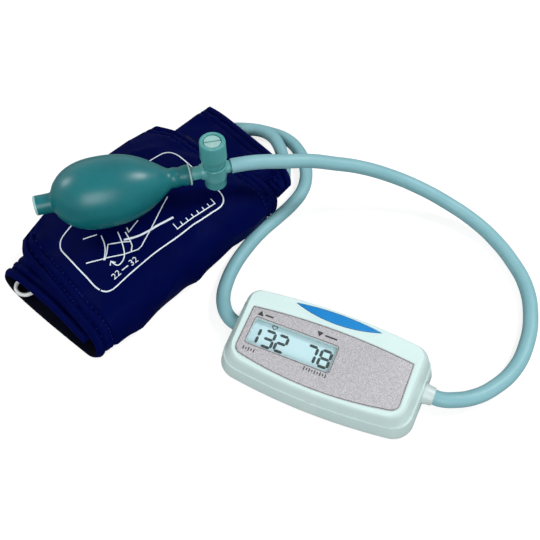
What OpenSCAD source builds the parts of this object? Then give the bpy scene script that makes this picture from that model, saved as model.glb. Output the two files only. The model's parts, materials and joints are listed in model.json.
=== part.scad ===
// Semi-automatic blood pressure monitor: digital unit, hand bulb with its valve, folded arm cuff and two hoses.
// Millimetres. The origin is under the middle of the monitor, +X to the user's right, +Y away, +Z up.

/* [Case] */
// Length of the case at its widest, along X
case_len = 107.6; // [102:0.1:116]
// Depth of the case from front to back, along Y
case_depth = 53; // [51:0.1:58]
// How much narrower each side is at the front than at the back
front_taper = 2; // [0:0.1:4]
// Height of the line where the two shells meet
parting_z = 13.5; // [13.3:0.1:14.5]
// Height of the face over the middle of the case
face_z = 25.1; // [24.8:0.1:28]
// Slope of the face towards the user, in degrees
face_tilt = 6.3; // [4:0.1:8]
// Thickness of the shells' walls
case_wall = 1.8; // [1.4:0.1:2.2]
// Thickness of the floor
floor_t = 2; // [1.8:0.1:2.4]
// Radius of the two back corners in plan
back_corner_r = 7; // [4:0.5:10]
// Radius of the two front corners in plan
front_corner_r = 11.5; // [8:0.5:14]
// Bow of the back edge
back_bow = 4; // [2:0.1:6]
// Bow of the front edge
front_bow = 4.8; // [2:0.1:6]
// Lean of the sides from the foot to the face
side_lean = 7.2; // [5:0.1:8]
// Lean of the back from the foot to the face
back_lean = 6.3; // [4:0.1:7]
// Lean of the front from the foot to the face
front_lean = 2; // [1:0.1:3]
// Rounding of the foot
foot_r = 2.2; // [1:0.1:3]
// Ledge between the shells at the parting line
ledge = 0.5; // [0.3:0.1:0.8]
// Diameter of the screw posts
post_d = 5.8; // [5.4:0.1:6]
// Screw diameter
screw_d = 2.4; // [2:0.1:2.8]

/* [Face] */
// Half length of the face panel at the back
panel_half = 43.2; // [40:0.1:44]
// Depth of the panel from its back edge to its front edge
panel_depth = 34.2; // [30:0.1:35]
// Place of the middle of the panel, along Y
panel_y = -6.2; // [-7:0.1:-5]
// Depth of the recess that the panel lies in
panel_recess = 0.6; // [0.5:0.1:0.8]
// Thickness of the face panel
panel_t = 0.5; // [0.3:0.05:0.5]
// Length of the window
window_len = 44.4; // [40:0.1:46]
// Width of the window
window_w = 14.4; // [12:0.1:16]
// Place of the middle of the window, along X
window_x = -16.8; // [-18:0.1:-14]
// Place of the middle of the window, along Y
window_y = -4.8; // [-6:0.1:-4]
// Thickness of the clear window
lens_t = 1; // [0.8:0.1:1.2]
// Margin of the clear window round the opening
lens_margin = 1.6; // [1:0.1:2]
// Thickness of the display glass
glass_t = 2.2; // [1.6:0.1:2.4]
// Height of the contact strips
strip_h = 2.4; // [1.8:0.1:2.6]

/* [Start button] */
// Length of the button
key_len = 47; // [40:0.5:50]
// Place of the button's two tips, along Y
key_y = 17.6; // [17:0.1:18]
// Bow of the button's back edge
key_back_bow = 2; // [1:0.1:2.2]
// Bow of the button's front edge
key_front_bow = 4.1; // [3:0.1:5]
// How far the button stands proud of the case
key_proud = 0.4; // [0.2:0.1:0.8]
// Travel of the button
key_travel = 0.8; // [0.5:0.1:0.9]

/* [Board] */
// Length of the circuit board
board_len = 76; // [70:0.5:77]
// Depth of the circuit board
board_w = 35.5; // [30:0.5:36]
// Thickness of the circuit board
board_t = 1.6; // [1:0.1:1.6]
// Place of the middle of the board, along Y
board_y = -0.8; // [-1.5:0.1:0]
// Side of the controller chip
chip_w = 10; // [7:0.5:12]
// Side of the pressure sensor
sensor_w = 7; // [6:0.5:8]
// Diameter of the buzzer
buzzer_d = 12; // [9:0.5:13]

/* [Battery] */
// Diameter of the battery
cell_d = 10.3; // [10:0.1:10.5]
// Length of the battery with its button end
cell_len = 44.5; // [43:0.1:44.5]
// Place of the middle of the battery, along X
cell_x = -4; // [-8:0.5:0]
// Place of the battery's axis, along Y
cell_y = -12.6; // [-13:0.1:-12]
// Length that the coil contact takes
cell_spring_len = 4.5; // [4:0.1:6]
// Thickness of the battery cover
cover_t = 1.2; // [1:0.1:1.4]

/* [Air line] */
// Place of both hose holes, along Y
line_y = 4.5; // [3:0.1:6]
// Height of both hose holes
line_z = 7; // [6.8:0.1:7.2]
// Diameter of the air line in the case
line_d = 5; // [4:0.1:5.4]
// Bore of the air line
line_bore = 2.4; // [1.6:0.1:2.8]
// Diameter of the plug where it leaves the case
plug_d = 10.5; // [10:0.1:10.8]
// Diameter of the plug at the hose
plug_end_d = 9.3; // [8.6:0.1:9.6]
// Outer diameter of the hoses
hose_d = 8; // [7:0.1:8.4]

/* [Bulb] */
// Diameter of the bulb
bulb_d = 37.6; // [34:0.1:37.8]
// Length of the bulb's body with its neck and tail
bulb_len = 79.8; // [76:0.1:84]
// Wall of the bulb
bulb_wall = 2.2; // [1.6:0.1:2.6]
// Diameter of the bulb's tail
tail_d = 10.4; // [10:0.1:11]
// Diameter of the bulb's neck
neck_d = 11; // [10.4:0.1:11.6]
// Diameter of the ball in the tail
ball_d = 3.8; // [3.4:0.1:4]
// Direction of the bulb in plan, from its tail to the valve, in degrees
bulb_turn = 38.7; // [37:0.1:40]

/* [Valve] */
// Place of the valve's axis, along X
valve_x = -89.3; // [-91:0.1:-88]
// Place of the valve's axis, along Y
valve_y = 62.1; // [60:0.1:64]
// Height of the hose and of the bulb's axis
port_z = 55; // [55:0.1:57]
// Diameter of the valve's body
valve_d = 12.2; // [11.8:0.1:12.6]
// Diameter of the collar round the ports
collar_d = 13; // [12.6:0.1:13.4]
// Diameter of the rim under the knob
rim_d = 14; // [13.6:0.1:15]
// Widest diameter of the knob
knob_d = 14.2; // [13.8:0.1:15]
// Height of the knob
knob_h = 14.3; // [12:0.1:16]
// Travel of the knob
knob_travel = 2.2; // [1.5:0.1:2.4]
// Diameter of the knob's stem
stem_d = 8.5; // [8:0.1:8.8]
// Diameter of the slotted screw's head
bleed_d = 9; // [8:0.1:9.4]

/* [Cuff] */
// Place of the cuff's front left corner, along X
cuff_x = -110; // [-112:0.5:-108]
// Place of the cuff's front left corner, along Y
cuff_y = -44; // [-46:0.5:-42]
// Direction of the cuff's front edge, in degrees
cuff_turn = 69.6; // [68:0.1:71]
// Thickness of the outer cloth and of the lining
cloth_t = 1.2; // [0.8:0.1:1.2]
// Gap between the layers in the cuff
ply_gap = 0.2; // [0.15:0.05:0.3]
// Half thickness of the cuff at its hems
hem_half = 1.4; // [1.3:0.1:1.5]
// Half thickness of the cuff's inflated top layer
pad_half = 6.2; // [5:0.1:6.2]
// Half thickness of the tail flap
tail_half = 1.7; // [1.4:0.1:1.8]
// Wire of the cuff's ring
ring_wire = 2.2; // [1.8:0.1:2.2]

/* [Hidden] */
$fn = 48;
hull_fn = 32;
eps = 0.01;

// Clearances: between parts that lie together, of a running fit on its radius, and of a moving part
lay_gap = 0.1;
run_gap = 0.05;
move_gap = 0.3;

case_half = case_len / 2;
front_y = -case_depth / 2;
back_y = case_depth / 2;
tilt_rise = tan(face_tilt);

// Height at which the lower shell reaches its full plan, and the height of the rounding's middle
foot_h = 2.5;
foot_mid = 0.8;
// Rows of the upper shell: depth under the face, share of the side's and back's lean, share of the front's lean
upper_rows = [[6.2, 0.58, 0.35], [2.2, 0.79, 0.52], [0.7, 0.92, 0.72], [0, 1, 1]];
parting_share = 0.36;
front_parting_share = 0.2;

// Levels under the face, in the face's own frame
wall_z = -panel_recess - 1.2;
lens_z = wall_z - lens_t;
glass_z = lens_z - lay_gap - glass_t;
board_top = glass_z - strip_h;
board_low = board_top - board_t;

// Display glass and its frame
glass_margin = 1.5;
glass_len = window_len + 2 * glass_margin;
glass_w = window_w + 2 * glass_margin;
frame_wall = 1;
strip_w = 1.8;
strip_edge = 0.5;

// Screw posts, mirrored left and right: place along X and Y
post_back_x = case_half - 10.8;
post_front_x = case_half - 12.6;
post_back_y = back_y - 12.5;
post_gap = 0.2;
post_front_y = window_y - glass_w / 2 - frame_wall - post_gap - post_d / 2;
screw_head_d = 5;
screw_head_h = 1.8;
screw_len = 15;
screw_seat = 4;
slot_w = 0.7;
slot_len = 3;
slot_depth = 0.7;

// Pegs of the upper shell that hold the board
peg_d = 3.2;
peg_inset = 3;
peg_edge = 2;

// Battery bay
bay_z = floor_t + lay_gap * 3 + cell_d / 2;
bay_x0 = cell_x - cell_len / 2 - cell_spring_len;
bay_x1 = cell_x + cell_len / 2;
bay_half_w = cell_d / 2 + 0.4;
bay_wall = 1.2;
bay_h = 9.4;
plate_t = 0.5;
hatch_lip = 1.8;
grip_w = 0.8;
grip_len = 7;
grip_pitch = 2;
grip_depth = 0.3;
cell_nub = 1;
cell_nub_d = 3.8;
plate_w = 9;
plate_h = 8;

// Air line
line_half = case_half - 9.8;
hose_start_x = -line_half;
nose_d = 6.4;
plug_x0 = line_half - 1;
plug_x1 = line_half + 4.6;
plug_end_x = case_half + 3.4;
barb_d = 4.4;
socket_wall = 0.9;
hole_gap = 0.3;
hose_room = 1.1;
saddle_x = 27;
saddle_t = 2;
saddle_wall = 1.5;
line_flange = 1.2;

// Sensor in the face's frame: the place over the air line, and the air line's depth under the face
sensor_x = -6;
line_face_y = line_y * cos(face_tilt) - (face_z - line_z) * sin(face_tilt);
line_face_z = -line_y * sin(face_tilt) - (face_z - line_z) * cos(face_tilt);
sensor_h = 3;
sensor_port_len = 2.2;
sensor_port_d = 2.4;
sensor_bore = 1.2;
nipple_h = 1.5;
tube_wall = 0.9;

// Places of the chip and the buzzer under the board
chip_at = [18, -7.8];
chip_h = 1.6;
buzzer_at = [30, 5];
buzzer_h = 3;
buzzer_hole = 1.6;

// Key switch in the face's frame
switch_w = 6;
switch_h = 2.6;
switch_y = 13.4;
plunger_d = 3.3;
plunger_h = 1.4;
plunger_sunk = 0.4;
plunger_well = 0.8;
key_flange_z = wall_z - move_gap;
key_flange_t = 0.9;
key_gap = 0.25;
key_flange_len = 0.6 * key_len;
key_flange_w = 5.6;

// Bulb: place along its axis, from the valve's axis towards the tail
washer_d = 11.8;
washer_t = 1;
bulb_s0 = 14.3;
bulb_s1 = bulb_s0 + bulb_len;
valve_nipple_d = 7.2;
neck_bore = valve_nipple_d + 2 * run_gap;
neck_grip = 15;
tail_bore = 7.7;
tail_grip = 9.5;
seat_bore = 2.2;
intake_mouth = 6.4;
intake_recess = 1.6;
intake_flange = 1.2;
ball_play = 0.5;
ball_hole = ball_d - 0.8;
ball_room = 6;
cage_rim = 0.5;
seat_depth = 3;
outlet_rim = 1;
outlet_room = 6.5;
nipple_end = bulb_s0 + neck_grip - 1;

// Valve: heights from the axis of the ports
valve_low = -11;
collar_low = -4.4;
rim_low = 3.6;
rim_top = 4.4;
knob_low = rim_top + knob_travel + 0.3;
stem_low = 2.5;
rod_d = 3;
seat_top = -3.5;
seat_t = 1.5;
chamber_d = 9.1;
seal_d = 7.4;
seal_t = 1.4;
hose_nipple_d = 6.5;
port_bore = 2.8;
hose_s = 8.9;
bleed_len = 8;
bleed_head_h = 1.3;
slot_turn = 36;
spring_wire = 0.7;
spring_d = 6;
spring_turns = 4;
bleed_recess = 0.3;
bleed_play = 0.3;
bleed_slot = 1;
bleed_slot_depth = 0.8;
rod_tip = 0.8;

// Catmull-Rom point at share t between b and c, and a list of rows smoothed into steps parts a stretch
function curve_pt(a, b, c, d, t) =
  0.5 * (2 * b + (c - a) * t + (2 * a - 5 * b + 4 * c - d) * t * t + (3 * b - a - 3 * c + d) * t * t * t);
function smoothed(p, steps) = concat(
  [for (i = [0:len(p) - 2]) for (k = [0:steps - 1])
    curve_pt(p[max(i - 1, 0)], p[i], p[i + 1], p[min(i + 2, len(p) - 1)], k / steps)],
  [p[len(p) - 1]]);
function unit(v) = v / norm(v);
function bow_r(half, bow) = (half * half + bow * bow) / (2 * bow);

// Two triangles for each cell of a closed band of rows, and the two end caps as fans
function band_faces(rows, sides) = [for (i = [0:rows - 2]) for (j = [0:sides - 1])
  let (a = i * sides + j, b = i * sides + (j + 1) % sides, c = a + sides, d = b + sides)
  each [[a, c, b], [b, c, d]]];
function end_faces(rows, sides) = concat(
  [for (j = [1:sides - 2]) [0, j, j + 1]],
  [for (j = [1:sides - 2]) let (e = (rows - 1) * sides) [e, e + j + 1, e + j]]);

// Round tube along a list of points, each ring square to the way there
module tube_along(points, r, sides) {
  last = len(points) - 1;
  rings = [for (i = [0:last])
    let (
      way = unit(points[min(i + 1, last)] - points[max(i - 1, 0)]),
      side = unit(cross(way, [0, 0, 1])),
      up = cross(side, way))
    for (j = [0:sides - 1])
      let (a = 270 + 360 * j / sides)
      points[i] + r * (cos(a) * side + sin(a) * up)];
  polyhedron(rings, concat(band_faces(last + 1, sides), end_faces(last + 1, sides)));
}

// Coil spring standing on z = 0: radius at the foot and at the top, with a straight lead at each end
coil_rings = 8;
coil_sides = 6;
function coil_points(r0, r1, h, wire, turns) = [for (k = [0:turns * coil_rings])
  let (t = k / (turns * coil_rings), a = 360 * turns * t, r = r0 + (r1 - r0) * t)
  [r * cos(a), r * sin(a), wire / 2 + (h - wire) * t]];
function least_gap(p, wire, skip) = min([for (i = [0:len(p) - 1 - skip]) for (j = [i + skip:len(p) - 1])
  norm(p[i] - p[j])]) - wire;
module coil(r0, r1, h, wire, turns) {
  points = coil_points(r0, r1, h, wire, turns);
  echo(coil_gap = least_gap(points, wire, coil_rings / 2));
  tube_along(points, wire / 2, coil_sides);
}

// Folded cloth. A row has the left end and the right end of the strip's middle (u, v, z), the crown and half thickness.
function mid_pt(row, t) = [
  row[0] + (row[3] - row[0]) * t,
  row[1] + (row[4] - row[1]) * t,
  row[2] + (row[5] - row[2]) * t + row[6] * 4 * t * (1 - t)];
function half_at(row, t) = hem_half + (row[7] - hem_half) * (1 - pow(abs(2 * t - 1), 4));
function ply_pt(rows, i, t, way, off) =
  let (
    a = mid_pt(rows[max(i - 1, 0)], t),
    b = mid_pt(rows[min(i + 1, len(rows) - 1)], t),
    m = mid_pt(rows[i], t),
    d = unit([b[1] - a[1], b[2] - a[2]]),
    o = way * half_at(rows[i], t) + off)
  [m[0], m[1] + o * d[1], max(m[2] - o * d[0], 0)];
// Closed sheet between two surfaces of the strip, each given as [side, offset], at shares cols of its width,
// from row first to row last of the strip
module ply(rows, outer, inner, cols, first, last) {
  n = len(cols);
  points = [for (i = [first:last])
    each concat(
      [for (t = cols) ply_pt(rows, i, t, outer[0], outer[1])],
      [for (k = [n - 1:-1:0]) ply_pt(rows, i, cols[k], inner[0], inner[1])])];
  loop = 2 * n;
  caps = [for (row = [0, last - first]) for (j = [0:n - 2])
    let (s = row * loop, a = s + j, b = s + j + 1, c = s + loop - 1 - j, d = s + loop - 2 - j)
    each (row == 0 ? [[a, b, c], [b, d, c]] : [[a, c, b], [b, c, d]])];
  // Both surfaces are cut along the same diagonals, so that the sheets of one strip lie on each other
  faces = [for (i = [0:last - first - 1]) for (j = [0:loop - 1])
    let (a = i * loop + j, b = i * loop + (j + 1) % loop, c = a + loop, d = b + loop)
    each (j < n ? [[a, c, b], [b, c, d]] : [[a, c, d], [a, d, b]])];
  polyhedron(points, concat(faces, caps));
}

module on_cuff() {
  translate([cuff_x, cuff_y, 0])
    rotate([0, 0, cuff_turn])
      children();
}

// Cuff strip from its back hem over the top layer, round the front fold, along the floor and round the back fold
strip_half = 2.6;
fold_half = 2.1;
cuff_rows = [
  [13.5, 80, 19, 124, 86, 28, 9.5, hem_half],
  [12.5, 73, 17, 130, 74, 27, 9.8, pad_half - 1],
  [10.5, 54, 15.8, 131, 57, 26.5, 10.4, pad_half],
  [7.8, 30, 15.4, 134, 32, 25, 10.2, pad_half],
  [6, 13, 15.2, 137, 13, 22.5, 8.2, pad_half - 0.6],
  [4.5, 5, 13, 137, 4, 18.5, 4, pad_half - 2],
  [2, 2, 8, 135.5, 2.2, 11.4, 0, strip_half + 0.5],
  [0, 6, strip_half + 0.6, 138, 8.5, strip_half + 0.8, 0, strip_half],
  [-1, 15, strip_half, 140, 18, strip_half, 0, strip_half],
  [-3, 42, strip_half, 140, 46, strip_half, 0, strip_half],
  [-4, 66, strip_half, 141, 76, strip_half, 0, strip_half],
  [-3.5, 76, 4, 142, 85, 4.5, 0, strip_half],
  [-2.5, 78, 7.4, 142, 86, 9.8, 0, fold_half],
  [-1, 73, 10.8, 142, 81, 14.8, 1.2, fold_half],
  [0.5, 58, 11.2, 141, 64, 15.2, 2.6, fold_half],
  [1.3, 36, 11.2, 140, 38, 15.2, 2.6, fold_half],
  [0.5, 10, 11.2, 141, 10, 15.2, 1.5, fold_half - 0.5]
];
cuff_steps = 2;
cuff_strip = smoothed(cuff_rows, cuff_steps);
cuff_last = len(cuff_strip) - 1;
bladder_first = 2;
bladder_last = 20;
tail_rows = [
  [60, 17, 18.3, 156.5, 10, 17.6, 1.2, hem_half],
  [60, 30, 19.7, 160.5, 28, 18, 1.9, tail_half],
  [60, 52, 19.8, 164.5, 52, 18, 2.2, tail_half],
  [60, 74, 19.6, 166, 74, 18, 2.2, tail_half],
  [62, 80, 19.2, 165.5, 87, 17.6, 2, hem_half]
];
tail_strip = smoothed(tail_rows, 3);
tail_last = len(tail_strip) - 1;
hook_first = 3;
hook_last = 9;
cloth_cols = [0, 0.05, 0.15, 0.3, 0.5, 0.7, 0.85, 0.95, 1];
bladder_cols = [for (i = [1:7]) cloth_cols[i]];
hook_cols = [for (i = [2:6]) cloth_cols[i]];
hook_t = 0.7;

// Ring: a long wire loop between the two lower layers, with its left end out of the mouth
ring_u0 = -4.6;
ring_u1 = 92;
ring_v = 65;
ring_half_w = 6;
ring_z = 2 * strip_half + ring_wire / 2 + ply_gap;

// Port of the bladder: its place, its base on the lining, its post and its nipple
port_u = 126;
port_v = 62;
port_base_d = 11;
port_base_h = 1.2;
port_post_d = 6;
port_nipple_d = 5.5;
port_len = 12;
cuff_port_z = 9.4;
port_hole = 2.6;

// Routes of the hoses
bulb_route = [
  [-82.3, 67.7, 55], [-79.96, 69.575, 55], [-70.9, 77.4, 53.4], [-59, 87.6, 49], [-46.7, 97.8, 44.5], [-36, 106, 39], [-23.5, 114.6, 33],
  [-7.4, 122.3, 25.5], [10.6, 127.1, 18], [29.6, 127.9, 11.5], [50.3, 123.5, 6.8], [64, 116.5, 4.6],
  [76, 106, 4], [86.3, 92.6, 4], [92.9, 74.2, 4], [94.5, 54.3, 4], [91.5, 37, 4.2], [84.4, 23, 4.8],
  [76, 13, 5.8], [67, 7, 6.6], [60.2, 4.5, 7], [57.25, 4.5, 7]
];
cuff_route = [
  [-44.05, 4.5, 7], [-49.5, 4.5, 7], [-54.5, 5.3, 6.9], [-59.1, 8, 6.3], [-63.3, 12.6, 5.5], [-66.8, 19, 4.7],
  [-69.1, 27.5, 4.1], [-70.1, 40, 4], [-68.8, 55, 4], [-65.6, 70, 4], [-60.9, 83.6, 4], [-57, 96, 4], [-55.2, 108, 4],
  [-56.8, 119, 4], [-61.6, 129.6, 4], [-69.2, 139, 4], [-80, 146, 4], [-94.2, 147.5, 4],
  [-109, 145, 4], [-121.5, 137, 5.6], [-129.2, 125.3, 8.4], [-133.5, 115.2, 9.4], [-135.5, 104.2, 9.4],
  [-134.1, 91.9, 9.4], [-128.4, 80.2, 9.4], [-118.2, 71.6, 9.4], [-105.7, 68, 9.4], [-91, 69.9, 9.4],
  [-78, 79.3, 9.4], [-70.6, 92, 9.4], [-68.1, 107, 7.6], [-71.3, 118.7, 6.6],
  [-76.6, 127.6, 9], [-82.2, 133.9, 11], [-89.1, 139.1, 10.8], [-98.2, 140.8, 10.4], [-106.4, 137.6, 10.2],
  [-113.4, 128.8, 10], [-118, 112.3, 9.4], [-119.98, 107.03, 9.4]
];
hose_sides = 10;

// Plan of the case at its foot: bowed front and back, tapered sides, one radius for all corners
module rounded_plan(corner_r) {
  offset(r = corner_r, $fn = hull_fn)
    offset(delta = -corner_r)
      intersection() {
        translate([0, back_y - bow_r(case_half, back_bow)])
          circle(bow_r(case_half, back_bow), $fn = 200);
        translate([0, front_y + bow_r(case_half, front_bow)])
          circle(bow_r(case_half, front_bow), $fn = 160);
        polygon([
          [-case_half, back_y], [case_half, back_y],
          [case_half - front_taper, front_y], [front_taper - case_half, front_y]]);
      }
}

module case_plan() {
  intersection() {
    rounded_plan(back_corner_r);
    translate([-case_len, 0])
      square([2 * case_len, case_depth]);
  }
  intersection() {
    rounded_plan(front_corner_r);
    translate([-case_len, -case_depth])
      square([2 * case_len, case_depth + eps]);
  }
}

// The plan drawn in by the given insets at the sides, the back and the front
module case_ring(side, back, front) {
  translate([0, (front - back) / 2])
    scale([1 - 2 * side / case_len, 1 - (back + front) / case_depth])
      case_plan();
}

// Thin slice at a level height, and one that follows the slope of the face at a depth under it
module level_slice(z, side, back, front) {
  translate([0, 0, z])
    linear_extrude(eps)
      case_ring(side, back, front);
}
module face_slice(depth, side, back, front) {
  multmatrix([[1, 0, 0, 0], [0, 1, 0, 0], [0, tilt_rise, 1, face_z - depth], [0, 0, 0, 1]])
    linear_extrude(eps)
      case_ring(side, back, front);
}

// Solid form of the lower shell, drawn in by a wall and standing on low_z
module lower_form(wall, low_z, top_z) {
  hull() {
    level_slice(low_z, foot_r + wall, foot_r + wall, foot_r + wall);
    level_slice(low_z + foot_mid, foot_r / 3 + wall, foot_r / 3 + wall, foot_r / 3 + wall);
    level_slice(low_z + foot_h, wall, wall, wall);
    level_slice(
      top_z - eps,
      side_lean * parting_share - ledge + wall,
      back_lean * parting_share - ledge + wall,
      front_lean * front_parting_share - ledge / 2 + wall);
  }
}

// Solid form of the upper shell, drawn in by a wall, from low_z to a drop under the face
module upper_form(wall, low_z, drop) {
  hull() {
    level_slice(
      low_z,
      side_lean * parting_share + wall,
      back_lean * parting_share + wall,
      front_lean * front_parting_share + wall);
    for (row = upper_rows)
      face_slice(
        row[0] + drop,
        side_lean * row[1] + wall,
        back_lean * row[1] + wall,
        front_lean * row[2] + wall);
  }
}

// Places children in the frame of the face: its middle, with z = 0 on the face
module on_face() {
  translate([0, 0, face_z])
    rotate([face_tilt, 0, 0])
      children();
}

module block(size, at) {
  translate([at[0] - size[0] / 2, at[1] - size[1] / 2, at[2]])
    cube(size);
}

module rounded_rect(size, r) {
  offset(r = r, $fn = hull_fn)
    square([size[0] - 2 * r, size[1] - 2 * r], center = true);
}

module at_posts() {
  for (side = [-1, 1])
    for (at = [[post_front_x, post_front_y], [post_back_x, post_back_y]])
      translate([side * at[0], at[1], 0])
        children();
}

// Outline of the face panel: a bowed front, and a back edge that follows the back of the case
module panel_outline() {
  offset(r = 5, $fn = hull_fn)
    offset(delta = -5)
      intersection() {
        square([2 * panel_half, panel_depth], center = true);
        translate([0, bow_r(panel_half, front_bow) - panel_depth / 2])
          circle(bow_r(panel_half, front_bow), $fn = 160);
      }
  intersection() {
    translate([-panel_half, 0])
      square([2 * panel_half, panel_depth / 2]);
    translate([0, panel_depth / 2 - bow_r(panel_half, back_bow * 0.7)])
      circle(bow_r(panel_half, back_bow * 0.7), $fn = 200);
  }
}

module window_cut(margin, z0, z1) {
  translate([window_x, window_y, z0])
    linear_extrude(z1 - z0)
      rounded_rect([window_len + 2 * margin, window_w + 2 * margin], 1);
}

// Lens shape of the start button in the frame of the face
module key_outline() {
  half = key_len / 2;
  intersection() {
    translate([0, key_y + key_back_bow - bow_r(half, key_back_bow)])
      circle(bow_r(half, key_back_bow), $fn = 160);
    translate([0, key_y - key_front_bow + bow_r(half, key_front_bow)])
      circle(bow_r(half, key_front_bow), $fn = 120);
  }
}

module top_case() {
  color([0.9, 0.96, 0.94]) {
    difference() {
      upper_form(0, parting_z, 0);
      upper_form(case_wall, parting_z - eps, -wall_z);
      on_face() {
        translate([0, panel_y, -panel_recess])
          linear_extrude(panel_recess + 1)
            panel_outline();
        window_cut(0, wall_z - 2, 1);
        translate([0, 0, wall_z - 3])
          linear_extrude(6)
            key_outline();
      }
    }
    difference() {
      intersection() {
        at_posts()
          translate([0, 0, parting_z])
            cylinder(d = post_d, h = face_z);
        upper_form(case_wall - lay_gap, parting_z, -wall_z - lay_gap);
      }
      at_posts()
        cylinder(d = screw_d + 2 * run_gap, h = screw_seat + screw_len + 0.5);
    }
    on_face()
      for (x = [-1, 1])
        for (y = [-1, 1])
          translate([x * (board_len / 2 - peg_inset), board_y + y * (board_w / 2 - peg_edge), board_top + lay_gap])
            cylinder(d = peg_d, h = wall_z - board_top);
  }
}

module bottom_case() {
  color([0.88, 0.95, 0.93]) {
    difference() {
      union() {
        difference() {
          lower_form(0, 0, parting_z);
          lower_form(case_wall, floor_t, parting_z + 2 * eps);
        }
        at_posts()
          cylinder(d = post_d, h = parting_z);
        translate([bay_x0 - bay_wall, cell_y - bay_half_w - bay_wall, eps])
          cube([bay_x1 - bay_x0 + 2 * bay_wall + plate_t, 2 * (bay_half_w + bay_wall), bay_h]);
        for (side = [-1, 1])
          block([saddle_t, line_d + 2 * saddle_wall, line_z], [side * saddle_x, line_y, eps]);
        translate([plug_x1 + lay_gap, line_y, line_z])
          rotate([0, 90, 0])
            cylinder(d = plug_d + 2 * (hole_gap + socket_wall), h = case_half - plug_x1 - 3);
      }
      at_posts() {
        translate([0, 0, -eps])
          cylinder(d = screw_head_d + 2 * hole_gap, h = screw_seat);
        cylinder(d = screw_d + 2 * hole_gap, h = parting_z + 1);
      }
      // Battery bay, open below, with a rebate for the cover
      translate([bay_x0, cell_y - bay_half_w, -eps])
        cube([bay_x1 - bay_x0 + plate_t, 2 * bay_half_w, bay_h + 1]);
      block(
        [bay_x1 - bay_x0 + 2 * hatch_lip, 2 * (bay_half_w + hatch_lip), cover_t + hole_gap + lay_gap + eps],
        [(bay_x0 + bay_x1) / 2, cell_y, -eps]);
      translate([-line_half - 1, line_y, line_z])
        rotate([0, 90, 0])
          cylinder(d = line_d + 2 * run_gap, h = 2 * line_half + 2);
      translate([plug_x1, line_y, line_z])
        rotate([0, 90, 0])
          cylinder(d = plug_d + 2 * hole_gap, h = case_half);
      translate([-case_len, line_y, line_z])
        rotate([0, 90, 0])
          cylinder(d = hose_d + 2 * hose_room, h = case_len - line_half - 2);
    }
  }
}

module face_panel() {
  color([0.72, 0.71, 0.73])
    on_face()
      difference() {
        translate([0, panel_y, -panel_recess])
          linear_extrude(panel_t)
            offset(delta = -lay_gap)
              panel_outline();
        window_cut(0, -panel_recess - 1, 1);
      }
}

module display_window() {
  color([0.85, 0.95, 0.98, 0.35])
    on_face()
      window_cut(lens_margin, lens_z, wall_z - run_gap);
}

module lcd_glass() {
  color([0.72, 0.86, 0.86])
    on_face()
      block([glass_len, glass_w, glass_t], [window_x, window_y, glass_z]);
}

module lcd_frame() {
  color([0.25, 0.27, 0.28])
    on_face()
      difference() {
        block(
          [glass_len + 2 * (frame_wall + lay_gap), glass_w + 2 * (frame_wall + lay_gap), lens_z - board_top],
          [window_x, window_y, board_top]);
        block(
          [glass_len + 2 * lay_gap, glass_w + 2 * lay_gap, lens_z - board_top + 2],
          [window_x, window_y, board_top - 1]);
      }
}

module contact_strips() {
  color([0.85, 0.6, 0.75])
    on_face()
      for (side = [-1, 1])
        block(
          [window_len, strip_w, strip_h],
          [window_x, window_y + side * ((glass_w - strip_w) / 2 - strip_edge), board_top]);
}

module circuit_board() {
  color([0.1, 0.45, 0.25])
    on_face()
      translate([0, board_y, board_low])
        linear_extrude(board_t)
          rounded_rect([board_len, board_w], 3);
}

module controller_chip() {
  color([0.12, 0.12, 0.13])
    on_face()
      block([chip_w, chip_w, chip_h], [chip_at[0], chip_at[1], board_low - chip_h]);
}

module pressure_sensor() {
  color([0.85, 0.85, 0.82])
    on_face()
      difference() {
        union() {
          block([sensor_w, sensor_w, sensor_h], [sensor_x, line_face_y, board_low - sensor_h]);
          translate([sensor_x, line_face_y, board_low - sensor_h - sensor_port_len])
            cylinder(d = sensor_port_d, h = sensor_port_len + 1);
        }
        translate([sensor_x, line_face_y, board_low - sensor_h - sensor_port_len - 1])
          cylinder(d = sensor_bore, h = sensor_port_len + sensor_h);
      }
}

module sensor_tube() {
  tube_low = line_face_z + line_d / 2 + lay_gap;
  color([0.75, 0.8, 0.78])
    on_face()
      translate([sensor_x, line_face_y, tube_low])
        difference() {
          cylinder(d = sensor_port_d + 2 * tube_wall, h = board_low - sensor_h - lay_gap - tube_low);
          translate([0, 0, -1])
            cylinder(d = sensor_port_d + 2 * run_gap, h = board_low - line_face_z);
        }
}

module air_manifold() {
  color([0.9, 0.9, 0.86])
    difference() {
      union() {
        translate([-line_half + 1, line_y, line_z])
          rotate([0, 90, 0])
            cylinder(d = line_d, h = 2 * line_half - 3);
        translate([-line_half, line_y, line_z])
          rotate([0, 90, 0])
            cylinder(d = hose_d, h = line_flange);
        translate([line_half - 2.5, line_y, line_z])
          rotate([0, 90, 0])
            cylinder(d = barb_d, h = plug_x1 - line_half);
        on_face()
          translate([sensor_x, line_face_y, line_face_z])
            cylinder(d = sensor_port_d, h = line_d / 2 + nipple_h);
      }
      translate([-line_half - 1, line_y, line_z])
        rotate([0, 90, 0])
          cylinder(d = line_bore, h = case_len);
      on_face()
        translate([sensor_x, line_face_y, line_face_z])
          cylinder(d = sensor_bore, h = line_d + nipple_h);
    }
}

module buzzer() {
  color([0.15, 0.15, 0.16])
    on_face()
      translate([buzzer_at[0], buzzer_at[1], board_low - buzzer_h])
        difference() {
          cylinder(d = buzzer_d, h = buzzer_h);
          translate([0, 0, -1])
            cylinder(d = buzzer_hole, h = 2);
        }
}

module start_switch() {
  color([0.2, 0.2, 0.22])
    on_face()
      difference() {
        block([switch_w, switch_w, switch_h], [0, switch_y, board_top]);
        translate([0, switch_y, board_top + plunger_well])
          cylinder(d = plunger_d + 2 * lay_gap, h = switch_h);
      }
}

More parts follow.
